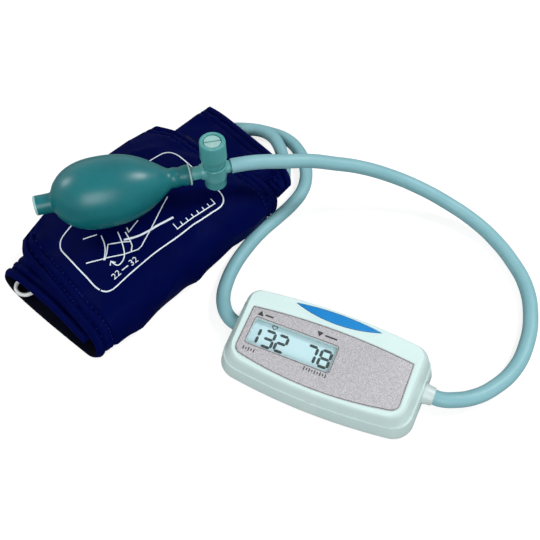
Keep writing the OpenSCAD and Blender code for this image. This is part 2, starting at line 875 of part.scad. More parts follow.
module switch_plunger() {
  color([0.9, 0.9, 0.88])
    on_face()
      translate([0, switch_y, board_top + switch_h - plunger_sunk])
        cylinder(d = plunger_d, h = plunger_h);
}

module start_button() {
  stem_low_z = board_top + switch_h - plunger_sunk + plunger_h;
  color([0.05, 0.3, 0.75]) {
    intersection() {
      on_face()
        translate([0, 0, key_flange_z - key_flange_t])
          linear_extrude(10)
            offset(delta = -key_gap)
              key_outline();
      upper_form(-key_proud, parting_z, -key_proud);
    }
    on_face() {
      block(
        [key_flange_len, key_flange_w, key_flange_t],
        [0, key_y - key_front_bow / 2, key_flange_z - key_flange_t]);
      translate([0, switch_y, stem_low_z])
        cylinder(d = plunger_d, h = key_flange_z - stem_low_z - key_flange_t / 2);
    }
  }
}

module battery() {
  color([0.85, 0.75, 0.35])
    translate([cell_x - cell_len / 2, cell_y, bay_z])
      rotate([0, 90, 0]) {
        cylinder(d = cell_d, h = cell_len - cell_nub);
        cylinder(d = cell_nub_d, h = cell_len);
      }
}

module battery_spring() {
  color([0.8, 0.8, 0.82])
    translate([bay_x0 + plate_t, cell_y, bay_z])
      rotate([0, 90, 0])
        coil(3.9, 2.4, cell_spring_len - plate_t - lay_gap, 0.7, 3);
}

module battery_contact() {
  color([0.82, 0.82, 0.84]) {
    for (x = [bay_x0, bay_x1 + run_gap])
      translate([x, cell_y - plate_w / 2, bay_z - plate_w / 2])
        cube([plate_t - run_gap, plate_w, plate_h]);
  }
}

module battery_cover() {
  color([0.88, 0.95, 0.93])
    difference() {
      union() {
        block(
          [bay_x1 - bay_x0 + 2 * hatch_lip - 2 * hole_gap, 2 * (bay_half_w + hatch_lip - hole_gap), cover_t],
          [(bay_x0 + bay_x1) / 2, cell_y, hole_gap]);
        block(
          [bay_x1 - bay_x0 - 2, 2 * bay_half_w - 2 * hole_gap, floor_t - hole_gap],
          [(bay_x0 + bay_x1) / 2, cell_y, hole_gap]);
      }
      for (i = [-2:2])
        block(
          [grip_w, grip_len, 1],
          [(bay_x0 + bay_x1) / 2 + grip_pitch * i, cell_y, hole_gap + grip_depth - 1]);
    }
}

module case_screws() {
  color([0.65, 0.66, 0.68])
    at_posts()
      difference() {
        union() {
          translate([0, 0, screw_seat - screw_head_h - eps])
            cylinder(d = screw_head_d, h = screw_head_h);
          translate([0, 0, screw_seat - screw_head_h])
            cylinder(d = screw_d, h = screw_head_h + screw_len);
        }
        for (size = [[slot_len, slot_w, slot_depth], [slot_w, slot_len, slot_depth]])
          block(size, [0, 0, screw_seat - screw_head_h - 2 * eps]);
      }
}

module hose_plug() {
  color([0.95, 0.96, 0.95])
    translate([0, line_y, line_z])
      rotate([0, 90, 0])
        difference() {
          union() {
            translate([0, 0, plug_x0])
              cylinder(d = nose_d, h = plug_x1 - plug_x0 + 1);
            translate([0, 0, plug_x1 + lay_gap])
              cylinder(d = plug_d, h = case_half - 1.4 - plug_x1);
            translate([0, 0, case_half - 1.4])
              cylinder(d1 = plug_d, d2 = plug_end_d, h = plug_end_x - case_half + 1.4);
          }
          translate([0, 0, plug_x0 - 1])
            cylinder(d = barb_d + 2 * run_gap, h = plug_x1 - plug_x0 + 1.5);
          translate([0, 0, plug_x0])
            cylinder(d = line_bore, h = plug_end_x);
        }
}

// Places children along the bulb's axis, with z running from the valve's axis to the tail
module along_bulb() {
  translate([valve_x, valve_y, port_z])
    rotate([0, 0, bulb_turn + 180])
      rotate([0, 90, 0])
        children();
}

// Outer profile of the bulb: radius and place along its length
bulb_rows = [
  [neck_d / 2, 0], [neck_d / 2, 0.03], [neck_d / 2 - 0.5, 0.06], [neck_d / 2, 0.095], [neck_d / 2 + 0.2, 0.135],
  [bulb_d * 0.265, 0.21], [bulb_d * 0.37, 0.29], [bulb_d * 0.44, 0.37], [bulb_d * 0.482, 0.45],
  [bulb_d * 0.5, 0.54], [bulb_d * 0.497, 0.64], [bulb_d * 0.46, 0.73], [bulb_d * 0.38, 0.81],
  [bulb_d * 0.26, 0.87], [tail_d / 2 + 0.6, 0.9], [tail_d / 2, 0.92], [tail_d / 2, 1]
];
bulb_profile = smoothed([for (p = bulb_rows) [p[0], bulb_s0 + p[1] * bulb_len]], 2);
bulb_hollow = [for (p = bulb_profile) if (p[1] > bulb_s0 + neck_grip && p[1] < bulb_s1 - tail_grip)
  [max(p[0] - bulb_wall, tail_bore / 2), p[1]]];

module bulb() {
  color([0.05, 0.4, 0.42])
    along_bulb()
      rotate_extrude()
        polygon(concat(
          [[neck_bore / 2, bulb_s0]],
          bulb_profile,
          [[tail_bore / 2, bulb_s1], [tail_bore / 2, bulb_s1 - tail_grip]],
          [for (i = [len(bulb_hollow) - 1:-1:0]) bulb_hollow[i]],
          [[neck_bore / 2, bulb_s0 + neck_grip]]));
}

module intake_valve() {
  color([0.75, 0.88, 0.84])
    along_bulb()
      translate([0, 0, bulb_s1])
        difference() {
          union() {
            translate([0, 0, run_gap])
              cylinder(d = tail_d, h = intake_flange);
            translate([0, 0, -tail_grip])
              cylinder(d = tail_bore - 2 * run_gap, h = tail_grip + intake_flange / 2);
          }
          translate([0, 0, -intake_recess])
            cylinder(d = intake_mouth, h = intake_recess + intake_flange + 1);
          translate([0, 0, -seat_depth - 1])
            cylinder(d = seat_bore, h = seat_depth + 1);
          translate([0, 0, -seat_depth - ball_room])
            cylinder(d = ball_d + ball_play, h = ball_room);
          translate([0, 0, -tail_grip - 1])
            cylinder(d = ball_hole, h = tail_grip + 2 - seat_depth - ball_room + cage_rim);
        }
}

// Depth of a ball's middle from the flat of a round hole that it sits on
function ball_rest(hole_d) = sqrt(pow(ball_d / 2, 2) - pow(hole_d / 2, 2));

module intake_ball() {
  color([0.7, 0.71, 0.73])
    along_bulb()
      translate([0, 0, bulb_s1 - seat_depth - ball_rest(seat_bore) - run_gap])
        sphere(d = ball_d);
}

module neck_washer() {
  color([0.8, 0.92, 0.88])
    along_bulb()
      translate([0, 0, bulb_s0 - run_gap - washer_t])
        difference() {
          cylinder(d = washer_d, h = washer_t);
          translate([0, 0, -1])
            cylinder(d = neck_bore, h = 3);
        }
}

module at_valve() {
  translate([valve_x, valve_y, port_z])
    children();
}

module valve_body() {
  color([0.35, 0.65, 0.63]) {
    difference() {
      union() {
        at_valve() {
          translate([0, 0, valve_low])
            cylinder(d = valve_d, h = rim_low - valve_low);
          translate([0, 0, collar_low])
            cylinder(d = collar_d, h = rim_low - collar_low);
          translate([0, 0, rim_low])
            cylinder(d = rim_d, h = rim_top - rim_low);
        }
        along_bulb() {
          cylinder(d = valve_nipple_d, h = nipple_end);
          translate([0, 0, -hose_s])
            cylinder(d = hose_nipple_d, h = hose_s);
        }
      }
      at_valve() {
        translate([0, 0, seat_top])
          cylinder(d = stem_d + 2 * run_gap, h = rim_top - seat_top + 1);
        translate([0, 0, valve_low - 1])
          cylinder(d = chamber_d, h = seat_top - valve_low + 1);
      }
      along_bulb() {
        translate([0, 0, -hose_s - 1])
          cylinder(d = port_bore, h = hose_s + 2 + nipple_end - outlet_rim - outlet_room);
        // Ball chamber at the bulb's end of the nipple
        translate([0, 0, nipple_end - outlet_rim - outlet_room])
          cylinder(d = ball_d + ball_play, h = outlet_room);
        translate([0, 0, nipple_end - 2 * outlet_rim])
          cylinder(d = ball_hole, h = 3 * outlet_rim);
      }
    }
  }
}

module outlet_ball() {
  color([0.7, 0.71, 0.73])
    along_bulb()
      translate([0, 0, nipple_end - outlet_rim - ball_rest(ball_hole) - run_gap])
        sphere(d = ball_d);
}

module valve_seat() {
  color([0.9, 0.92, 0.9])
    at_valve()
      translate([0, 0, seat_top - seat_t])
        difference() {
          cylinder(d = chamber_d - 2 * run_gap, h = seat_t);
          translate([0, 0, -1])
            cylinder(d = rod_d + 1.6, h = seat_t + 2);
        }
}

module valve_seal() {
  color([0.15, 0.15, 0.16])
    at_valve()
      translate([0, 0, seat_top - seat_t - lay_gap - seal_t])
        difference() {
          cylinder(d = seal_d, h = seal_t);
          translate([0, 0, -1])
            cylinder(d = rod_d + 2 * run_gap, h = seal_t + 2);
        }
}

module valve_spring() {
  color([0.8, 0.8, 0.82])
    at_valve()
      translate([0, 0, seat_top + run_gap])
        coil(spring_d / 2, spring_d / 2, stem_low - seat_top - 2 * run_gap, spring_wire, spring_turns);
}

module exhaust_button() {
  rod_low = seat_top - seat_t - lay_gap - seal_t - rod_tip;
  color([0.35, 0.65, 0.63])
    at_valve()
      difference() {
        union() {
          translate([0, 0, knob_low])
            rotate_extrude()
              polygon([
                [0, 0], [knob_d / 2 - 1.2, 0], [knob_d / 2 - 0.9, 0.6], [knob_d / 2, 3.6],
                [knob_d / 2, 5.4], [knob_d / 2 - 0.25, knob_h - 0.6], [knob_d / 2 - 0.75, knob_h], [0, knob_h]]);
          translate([0, 0, stem_low])
            cylinder(d = stem_d, h = knob_low - stem_low + 1);
          translate([0, 0, rod_low])
            cylinder(d = rod_d, h = stem_low - rod_low + 1);
        }
        translate([0, 0, knob_low + knob_h - bleed_head_h - bleed_recess])
          cylinder(d = bleed_d + 2 * bleed_play, h = bleed_head_h + 1);
        translate([0, 0, knob_low + knob_h - bleed_head_h - bleed_len - 1])
          cylinder(d = rod_d + 2 * run_gap, h = bleed_len + 2);
      }
}

module bleed_screw() {
  color([0.6, 0.78, 0.74])
    at_valve()
      translate([0, 0, knob_low + knob_h - bleed_recess + run_gap])
        rotate([0, 0, slot_turn])
          difference() {
            union() {
              translate([0, 0, -bleed_head_h])
                cylinder(d = bleed_d, h = bleed_head_h);
              translate([0, 0, -bleed_head_h - bleed_len])
                cylinder(d = rod_d, h = bleed_len + 1);
            }
            block([bleed_d + 1, bleed_slot, bleed_slot_depth + 1], [0, 0, -bleed_slot_depth]);
          }
}

module cuff_cover() {
  color([0.03, 0.05, 0.25])
    on_cuff()
      ply(cuff_strip, [1, 0], [1, -cloth_t], cloth_cols, 0, cuff_last);
}

module cuff_lining() {
  color([0.02, 0.03, 0.18])
    on_cuff()
      ply(cuff_strip, [-1, cloth_t], [-1, 0], cloth_cols, 0, cuff_last);
}

module air_bladder() {
  color([0.2, 0.2, 0.22])
    on_cuff()
      ply(
        cuff_strip, [1, -cloth_t - ply_gap], [-1, cloth_t + ply_gap], bladder_cols,
        bladder_first, bladder_last);
}

module bladder_port() {
  color([0.15, 0.16, 0.18])
    on_cuff()
      translate([port_u, port_v, 2 * strip_half + lay_gap])
        difference() {
          union() {
            cylinder(d = port_base_d, h = port_base_h);
            cylinder(d = port_post_d, h = cuff_port_z + port_post_d / 2 - 2 * strip_half - lay_gap);
            translate([0, 0, cuff_port_z - 2 * strip_half - lay_gap])
              rotate([0, 90, 0])
                cylinder(d = port_nipple_d, h = port_len);
          }
          translate([0, 0, cuff_port_z - 2 * strip_half - lay_gap])
            rotate([0, 90, 0])
              cylinder(d = port_hole, h = port_len + 1);
          translate([0, 0, -1])
            cylinder(d = port_hole, h = cuff_port_z - 2 * strip_half + 1);
        }
}

module cuff_tail() {
  color([0.03, 0.05, 0.25])
    on_cuff()
      ply(tail_strip, [-1, 0], [1, 0], cloth_cols, 0, tail_last);
}

module hook_patch() {
  color([0.05, 0.05, 0.1])
    on_cuff()
      ply(tail_strip, [-1, -ply_gap - hook_t], [-1, -ply_gap], hook_cols, hook_first, hook_last);
}

module cuff_ring() {
  color([0.85, 0.86, 0.84])
    on_cuff() {
      for (side = [-1, 1])
        translate([ring_u0 + ring_half_w + ring_wire / 2, ring_v + side * ring_half_w, ring_z])
          rotate([0, 90, 0])
            cylinder(d = ring_wire, h = ring_u1 - ring_u0 - 2 * ring_half_w - ring_wire);
      for (end = [0, 1])
        translate([
          end == 0 ? ring_u0 + ring_half_w + ring_wire / 2 : ring_u1 - ring_half_w - ring_wire / 2,
          ring_v,
          ring_z])
          rotate([0, 0, end == 0 ? 90 : -90])
            rotate_extrude(angle = 180)
              translate([ring_half_w, 0])
                circle(d = ring_wire);
    }
}

module bulb_hose() {
  color([0.45, 0.68, 0.7])
    tube_along(bulb_route, hose_d / 2, hose_sides);
}

module cuff_hose() {
  color([0.45, 0.68, 0.7])
    tube_along(cuff_route, hose_d / 2, hose_sides);
}

top_case();
bottom_case();
face_panel();
display_window();
lcd_glass();
lcd_frame();
contact_strips();
circuit_board();
controller_chip();
pressure_sensor();
sensor_tube();
air_manifold();
buzzer();
start_switch();
switch_plunger();
start_button();
battery();
battery_spring();
battery_contact();
battery_cover();
case_screws();
hose_plug();
bulb();
intake_valve();
intake_ball();
neck_washer();
valve_body();
outlet_ball();
valve_seat();
valve_seal();
valve_spring();
exhaust_button();
bleed_screw();
cuff_cover();
cuff_lining();
air_bladder();
bladder_port();
cuff_tail();
hook_patch();
cuff_ring();
bulb_hose();
cuff_hose();
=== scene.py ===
"""Dress a blood pressure monitor: display unit, hand bulb with its valve, folded cuff and hoses.

Every size is in millimetres and is turned into metres where a piece is made. The origin is under
the middle of the display unit, +X runs to the user's right, +Y away from the user and +Z up.
"""

from __future__ import annotations

import json
import logging
import math
from contextlib import contextmanager
from dataclasses import dataclass, field
from enum import Enum
from typing import Callable, Iterable, Iterator, Sequence

import bmesh
import bpy
from mathutils import Matrix, Vector, noise

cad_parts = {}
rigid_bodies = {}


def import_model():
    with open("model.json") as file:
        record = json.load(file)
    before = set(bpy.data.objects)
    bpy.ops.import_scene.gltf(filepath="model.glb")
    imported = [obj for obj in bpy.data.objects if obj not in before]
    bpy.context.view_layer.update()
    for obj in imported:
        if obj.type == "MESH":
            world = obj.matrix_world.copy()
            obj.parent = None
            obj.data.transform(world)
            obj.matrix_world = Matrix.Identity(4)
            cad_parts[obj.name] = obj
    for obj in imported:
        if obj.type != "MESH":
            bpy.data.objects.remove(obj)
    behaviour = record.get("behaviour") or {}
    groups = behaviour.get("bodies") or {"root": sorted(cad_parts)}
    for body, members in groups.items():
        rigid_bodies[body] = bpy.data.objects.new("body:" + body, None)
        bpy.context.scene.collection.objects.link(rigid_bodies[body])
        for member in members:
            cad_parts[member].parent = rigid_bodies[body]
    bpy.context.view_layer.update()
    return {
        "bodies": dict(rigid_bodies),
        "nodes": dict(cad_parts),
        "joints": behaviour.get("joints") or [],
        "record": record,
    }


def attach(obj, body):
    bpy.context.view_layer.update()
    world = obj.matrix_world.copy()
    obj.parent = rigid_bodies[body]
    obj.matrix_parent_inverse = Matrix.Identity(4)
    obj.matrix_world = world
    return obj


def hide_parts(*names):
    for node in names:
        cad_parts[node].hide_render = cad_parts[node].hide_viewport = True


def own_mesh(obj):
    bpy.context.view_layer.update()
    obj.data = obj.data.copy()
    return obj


LOG = logging.getLogger("monitor")
MM = 0.001
AIR_LINE = (4.5, 7)  # Y and Z of the unit's air line, its socket and its plug, in millimetres
AXIS_RADIUS = 0.0006  # millimetres; points this near a turned piece's axis merge into one
ROD_SIDES = 48
Colour = tuple[float, float, float, float]
Flat = tuple[float, float]
Point = tuple[float, float, float]
Tone = tuple[int, int, int]
Piece = bpy.types.Object
Socket = bpy.types.NodeSocket
WHITE: Colour = (1.0, 1.0, 1.0, 1.0)


def srgb(red: int, green: int, blue: int) -> Colour:
    """Turn a colour on the usual scale of 0 to 255 into Blender's linear one."""

    def linear(value: float) -> float:
        """Give the linear value of one channel."""
        share = value / 255.0
        return share / 12.92 if share <= 0.04045 else ((share + 0.055) / 1.055) ** 2.4

    return (linear(red), linear(green), linear(blue), 1.0)


DUST_GREY = srgb(168, 166, 160)


def lerp(first: float, last: float, share: float) -> float:
    """Give the value at a share of the way from first to last."""
    return first + (last - first) * share


def bell(away: float, width: float) -> float:
    """Give the height of a bell curve at a distance from its middle, where it is 1."""
    return math.exp(-((away / width) ** 2))


def noise_at(x: float, y: float, z: float) -> float:
    """Give smooth noise at a place, about -1 to 1."""
    return noise.noise(Vector((x, y, z)))


def spline(a: float, b: float, c: float, d: float, t: float) -> float:
    """Give the Catmull-Rom value between b and c, at a share t of the way."""
    square = (2 * a - 5 * b + 4 * c - d) * t**2
    cube = (3 * b - a - 3 * c + d) * t**3
    return 0.5 * (2 * b + (c - a) * t + square + cube)


def smoothed(rows: Sequence[Sequence[float]], steps: int) -> list[tuple[float, ...]]:
    """Run a Catmull-Rom curve through rows of numbers.

    Args:
        rows: The rows that the curve passes through.
        steps: Parts of each stretch between two rows.

    Returns:
        The rows of the curve, the last one included.
    """
    last = len(rows) - 1
    curve: list[tuple[float, ...]] = []
    for index in range(last):
        before, here = rows[max(index - 1, 0)], rows[index]
        there, after = rows[index + 1], rows[min(index + 2, last)]
        for step in range(steps):
            four = zip(before, here, there, after)
            curve.append(tuple(spline(*values, step / steps) for values in four))
    curve.append(tuple(rows[last]))
    return curve


class Desk:
    """A node tree and short ways to add and join its nodes."""

    def __init__(self, tree: bpy.types.NodeTree) -> None:
        """Keep the tree that the nodes go into."""
        self.tree = tree

    def feed(self, socket: Socket, value: object) -> None:
        """Link another socket to an input, or set the input's own value."""
        if isinstance(value, Socket):
            self.tree.links.new(value, socket)
        else:
            socket.default_value = value

    def add(
        self, kind: str, inputs: dict[str | int, object] | None = None, **values: object
    ) -> bpy.types.Node:
        """Add a node.

        Args:
            kind: The node's type name.
            inputs: Values or sockets for its inputs, by name or number.
            **values: The node's own settings.

        Returns:
            The new node.
        """
        node = self.tree.nodes.new(kind)
        for name, value in values.items():
            setattr(node, name, value)
        for name, value in (inputs or {}).items():
            self.feed(node.inputs[name], value)
        return node

    def math(self, operation: str, first: object, second: object = 0.0) -> Socket:
        """Add a Math node and give its result."""
        return self.add("ShaderNodeMath", {0: first, 1: second}, operation=operation).outputs[0]

    def remap(
        self, value: object, low: float, high: float, to_low: float, to_high: float
    ) -> Socket:
        """Map a value from one range to another, clamped."""
        inputs = {
            "Value": value, "From Min": low, "From Max": high, "To Min": to_low, "To Max": to_high
        }
        return self.add("ShaderNodeMapRange", inputs).outputs["Result"]

    def texture(self, kind: str, vector: Socket, scale: object, **inputs: object) -> bpy.types.Node:
        """Add a texture node of a kind, such as Noise or Voronoi."""
        return self.add(f"ShaderNodeTex{kind}", {"Vector": vector, "Scale": scale, **inputs})

    def blend(self, share: object, first: object, second: object) -> Socket:
        """Mix two colours by a share."""
        node = self.add("ShaderNodeMix", data_type="RGBA")
        for socket, value in (("Factor_Float", share), ("A_Color", first), ("B_Color", second)):
            self.feed(next(item for item in node.inputs if item.identifier == socket), value)
        return next(item for item in node.outputs if item.identifier == "Result_Color")

    def effect(self, group: bpy.types.NodeTree, inputs: dict[str, object]) -> bpy.types.Node:
        """Place a shared node group with its own values."""
        return self.add("ShaderNodeGroup", inputs, node_tree=group)


class Effects:
    """Shared shader node groups, each built once."""

    def __init__(self) -> None:
        """Build every group."""
        self.grain = self._grain()
        self.mottle = self._mottle()
        self.wear = self._wear()
        self.weave = self._weave()
        self.speckle = self._speckle()

    @staticmethod
    def _new(
        name: str, inputs: dict[str, float | None], *outputs: str
    ) -> tuple[Desk, dict[str, Socket], bpy.types.Node]:
        """Start a group.

        Args:
            name: The group's name.
            inputs: Input names with a default, or None for a vector.
            *outputs: Names of its outputs, which are plain numbers.

        Returns:
            The group's desk, its input sockets by name, and its output node.
        """
        tree = bpy.data.node_groups.new(name, "ShaderNodeTree")
        for label, default in inputs.items():
            kind = "NodeSocketVector" if default is None else "NodeSocketFloat"
            socket = tree.interface.new_socket(label, in_out="INPUT", socket_type=kind)
            if default is not None:
                socket.default_value = default
        for label in outputs:
            tree.interface.new_socket(label, in_out="OUTPUT", socket_type="NodeSocketFloat")
        entry = tree.nodes.new("NodeGroupInput")
        leave = tree.nodes.new("NodeGroupOutput")
        return Desk(tree), {socket.name: socket for socket in entry.outputs}, leave

    def _grain(self) -> bpy.types.NodeTree:
        """Build the fine relief of moulded or rubber surfaces."""
        desk, given, leave = self._new(
            "fine_grain", {"Vector": None, "Scale": 900.0, "Coarse": 0.3}, "Height"
        )
        fine = desk.texture("Noise", given["Vector"], given["Scale"], Detail=3.0)
        wider = desk.math("MULTIPLY", given["Scale"], 0.12)
        wide = desk.texture("Noise", given["Vector"], wider, Detail=2.0)
        part = desk.math("MULTIPLY", wide.outputs["Fac"], given["Coarse"])
        desk.feed(leave.inputs["Height"], desk.math("ADD", fine.outputs["Fac"], part))
        return desk.tree

    def _mottle(self) -> bpy.types.NodeTree:
        """Build the soft cloudy change of colour and gloss, with a little dust."""
        desk, given, leave = self._new(
            "soft_mottle", {"Vector": None, "Scale": 40.0, "Dust": 0.1}, "Cloud", "Dust"
        )
        cloud = desk.texture("Noise", given["Vector"], given["Scale"], Detail=4.0, Roughness=0.55)
        desk.feed(leave.inputs["Cloud"], desk.remap(cloud.outputs["Fac"], 0.3, 0.7, 0.0, 1.0))
        finer = desk.math("MULTIPLY", given["Scale"], 14.0)
        specks = desk.texture("Voronoi", given["Vector"], finer)
        near = desk.remap(specks.outputs["Distance"], 0.05, 0.2, 1.0, 0.0)
        desk.feed(leave.inputs["Dust"], desk.math("MULTIPLY", near, given["Dust"]))
        return desk.tree

    def _wear(self) -> bpy.types.NodeTree:
        """Build the mask of rubbed outer edges."""
        desk, given, leave = self._new(
            "edge_wear", {"Vector": None, "Amount": 0.3, "Scale": 120.0}, "Mask"
        )
        shape = desk.add("ShaderNodeNewGeometry")
        edge = desk.remap(shape.outputs["Pointiness"], 0.52, 0.6, 0.0, 1.0)
        patch = desk.texture("Noise", given["Vector"], given["Scale"], Detail=3.0)
        rubbed = desk.math("MULTIPLY", edge, desk.remap(patch.outputs["Fac"], 0.4, 0.65, 0.2, 1.0))
        desk.feed(leave.inputs["Mask"], desk.math("MULTIPLY", rubbed, given["Amount"]))
        return desk.tree

    def _weave(self) -> bpy.types.NodeTree:
        """Build a plain weave from two crossing wave patterns."""
        desk, given, leave = self._new(
            "plain_weave", {"Vector": None, "Pitch": 1.0, "Slub": 0.3}, "Height"
        )
        split = desk.add("ShaderNodeSeparateXYZ", {"Vector": given["Vector"]})
        slub = desk.texture("Noise", given["Vector"], 0.25, Detail=3.0)
        sway = desk.math("MULTIPLY", desk.math("SUBTRACT", slub.outputs["Fac"], 0.5), given["Slub"])
        waves = []
        for axis in ("X", "Y"):
            moved = desk.math("ADD", split.outputs[axis], sway)
            turn = desk.math("MULTIPLY", desk.math("MULTIPLY", moved, given["Pitch"]), math.pi)
            waves.append(desk.math("ABSOLUTE", desk.math("SINE", turn)))
        high = desk.math("MAXIMUM", waves[0], waves[1])
        low = desk.math("MULTIPLY", waves[0], waves[1])
        desk.feed(
            leave.inputs["Height"], desk.math("SUBTRACT", high, desk.math("MULTIPLY", low, 0.5))
        )
        return desk.tree

    def _speckle(self) -> bpy.types.NodeTree:
        """Build fine metal flakes."""
        desk, given, leave = self._new("metal_speckle", {"Vector": None, "Scale": 4000.0}, "Flake")
        cells = desk.texture("Voronoi", given["Vector"], given["Scale"])
        grey = desk.add("ShaderNodeRGBToBW", {"Color": cells.outputs["Color"]})
        desk.feed(leave.inputs["Flake"], grey.outputs[0])
        return desk.tree


@dataclass(frozen=True)
class Finish:
    """A plain moulded, rubber or metal finish."""

    name: str
    base: Tone
    shade: Tone
    worn: Tone
    roughness: tuple[float, float] = (0.35, 0.45)
    metallic: float = 0.0
    grain: float = 900.0
    coarse: float = 0.3
    relief: float = 0.03
    wear: float = 0.3
    dust: float = 0.08
    mottle: float = 40.0
    specular: float = 0.5
    brushed: bool = False

    def vector(self, desk: Desk) -> Socket:
        """Give the vector that the patterns follow."""
        place = desk.add("ShaderNodeTexCoord").outputs["Object"]
        if self.brushed:
            return desk.add(
                "ShaderNodeMapping", {"Vector": place, "Scale": (1.0, 0.06, 1.0)}
            ).outputs["Vector"]
        return place

    def build(self, effects: Effects) -> bpy.types.Material:
        """Make the material.

        Args:
            effects: The shared node groups.

        Returns:
            The material.
        """
        base, shade, worn = (srgb(*tone) for tone in (self.base, self.shade, self.worn))
        material = bpy.data.materials.new(self.name)
        material.use_nodes = True
        material.diffuse_color = base
        desk = Desk(material.node_tree)
        surface = material.node_tree.nodes["Principled BSDF"]
        vector = self.vector(desk)
        cloud = desk.effect(
            effects.mottle, {"Vector": vector, "Scale": self.mottle, "Dust": self.dust}
        )
        rubbed = desk.effect(effects.wear, {"Vector": vector, "Amount": self.wear})
        colour = desk.blend(cloud.outputs["Cloud"], base, shade)
        colour = self.decorate(desk, effects, vector, colour)
        colour = desk.blend(rubbed.outputs["Mask"], colour, worn)
        colour = desk.blend(cloud.outputs["Dust"], colour, DUST_GREY)
        gloss = desk.remap(cloud.outputs["Cloud"], 0.0, 1.0, *self.roughness)
        height = self.height(desk, effects, vector)
        bump = desk.add(
            "ShaderNodeBump", {"Height": height, "Strength": 1.0, "Distance": self.relief * MM}
        )
        for name, value in (
            ("Base Color", colour),
            ("Roughness", gloss),
            ("Normal", bump.outputs["Normal"]),
            ("Metallic", self.metallic),
            ("Specular IOR Level", self.specular),
        ):
            desk.feed(surface.inputs[name], value)
        return material

    def height(self, desk: Desk, effects: Effects, vector: Socket) -> Socket:
        """Give the relief of the surface."""
        return desk.effect(
            effects.grain, {"Vector": vector, "Scale": self.grain, "Coarse": self.coarse}
        ).outputs[0]

    def decorate(
        self, desk: Desk, effects: Effects, vector: Socket, colour: Socket
    ) -> Socket:
        """Give the colour with a finish's own pattern; a plain finish has none."""
        return colour


@dataclass(frozen=True)
class FlakeFinish(Finish):
    """A silver film with fine metal flakes."""

    flake: Tone = (200, 200, 200)
    flake_scale: float = 4200.0

    def decorate(
        self, desk: Desk, effects: Effects, vector: Socket, colour: Socket
    ) -> Socket:
        """Scatter the flakes over the film."""
        flakes = desk.effect(effects.speckle, {"Vector": vector, "Scale": self.flake_scale})
        return desk.blend(
            desk.remap(flakes.outputs[0], 0.35, 0.85, 0.0, 1.0), colour, srgb(*self.flake)
        )


@dataclass(frozen=True)
class ClothFinish(Finish):
    """Woven or knitted cloth whose threads follow the strip's own coordinates."""

    pitch: float = 1.4
    slub: float = 0.3
    thread: Tone = (0, 0, 90)
    thread_share: float = 0.55

    def vector(self, desk: Desk) -> Socket:
        """Give the cloth's own coordinates, in millimetres."""
        return desk.add("ShaderNodeAttribute", attribute_name="cloth_mm").outputs["Vector"]

    def height(self, desk: Desk, effects: Effects, vector: Socket) -> Socket:
        """Give the relief of the weave."""
        return self._weave(desk, effects, vector).outputs["Height"]

    def _weave(self, desk: Desk, effects: Effects, vector: Socket) -> bpy.types.Node:
        """Place the weave group."""
        return desk.effect(
            effects.weave, {"Vector": vector, "Pitch": self.pitch, "Slub": self.slub}
        )

    def decorate(
        self, desk: Desk, effects: Effects, vector: Socket, colour: Socket
    ) -> Socket:
        """Vary the colour from thread to thread."""
        weave = self._weave(desk, effects, vector)
        share = desk.math("MULTIPLY", weave.outputs["Height"], self.thread_share)
        return desk.blend(share, colour, srgb(*self.thread))


@dataclass(frozen=True)
class ClearFinish(Finish):
    """Clear plastic that lets most of the light through."""

    alpha: float = 0.12

    def build(self, effects: Effects) -> bpy.types.Material:
        """Make the material with its thin cover."""
        material = super().build(effects)
        material.node_tree.nodes["Principled BSDF"].inputs["Alpha"].default_value = self.alpha
        return material


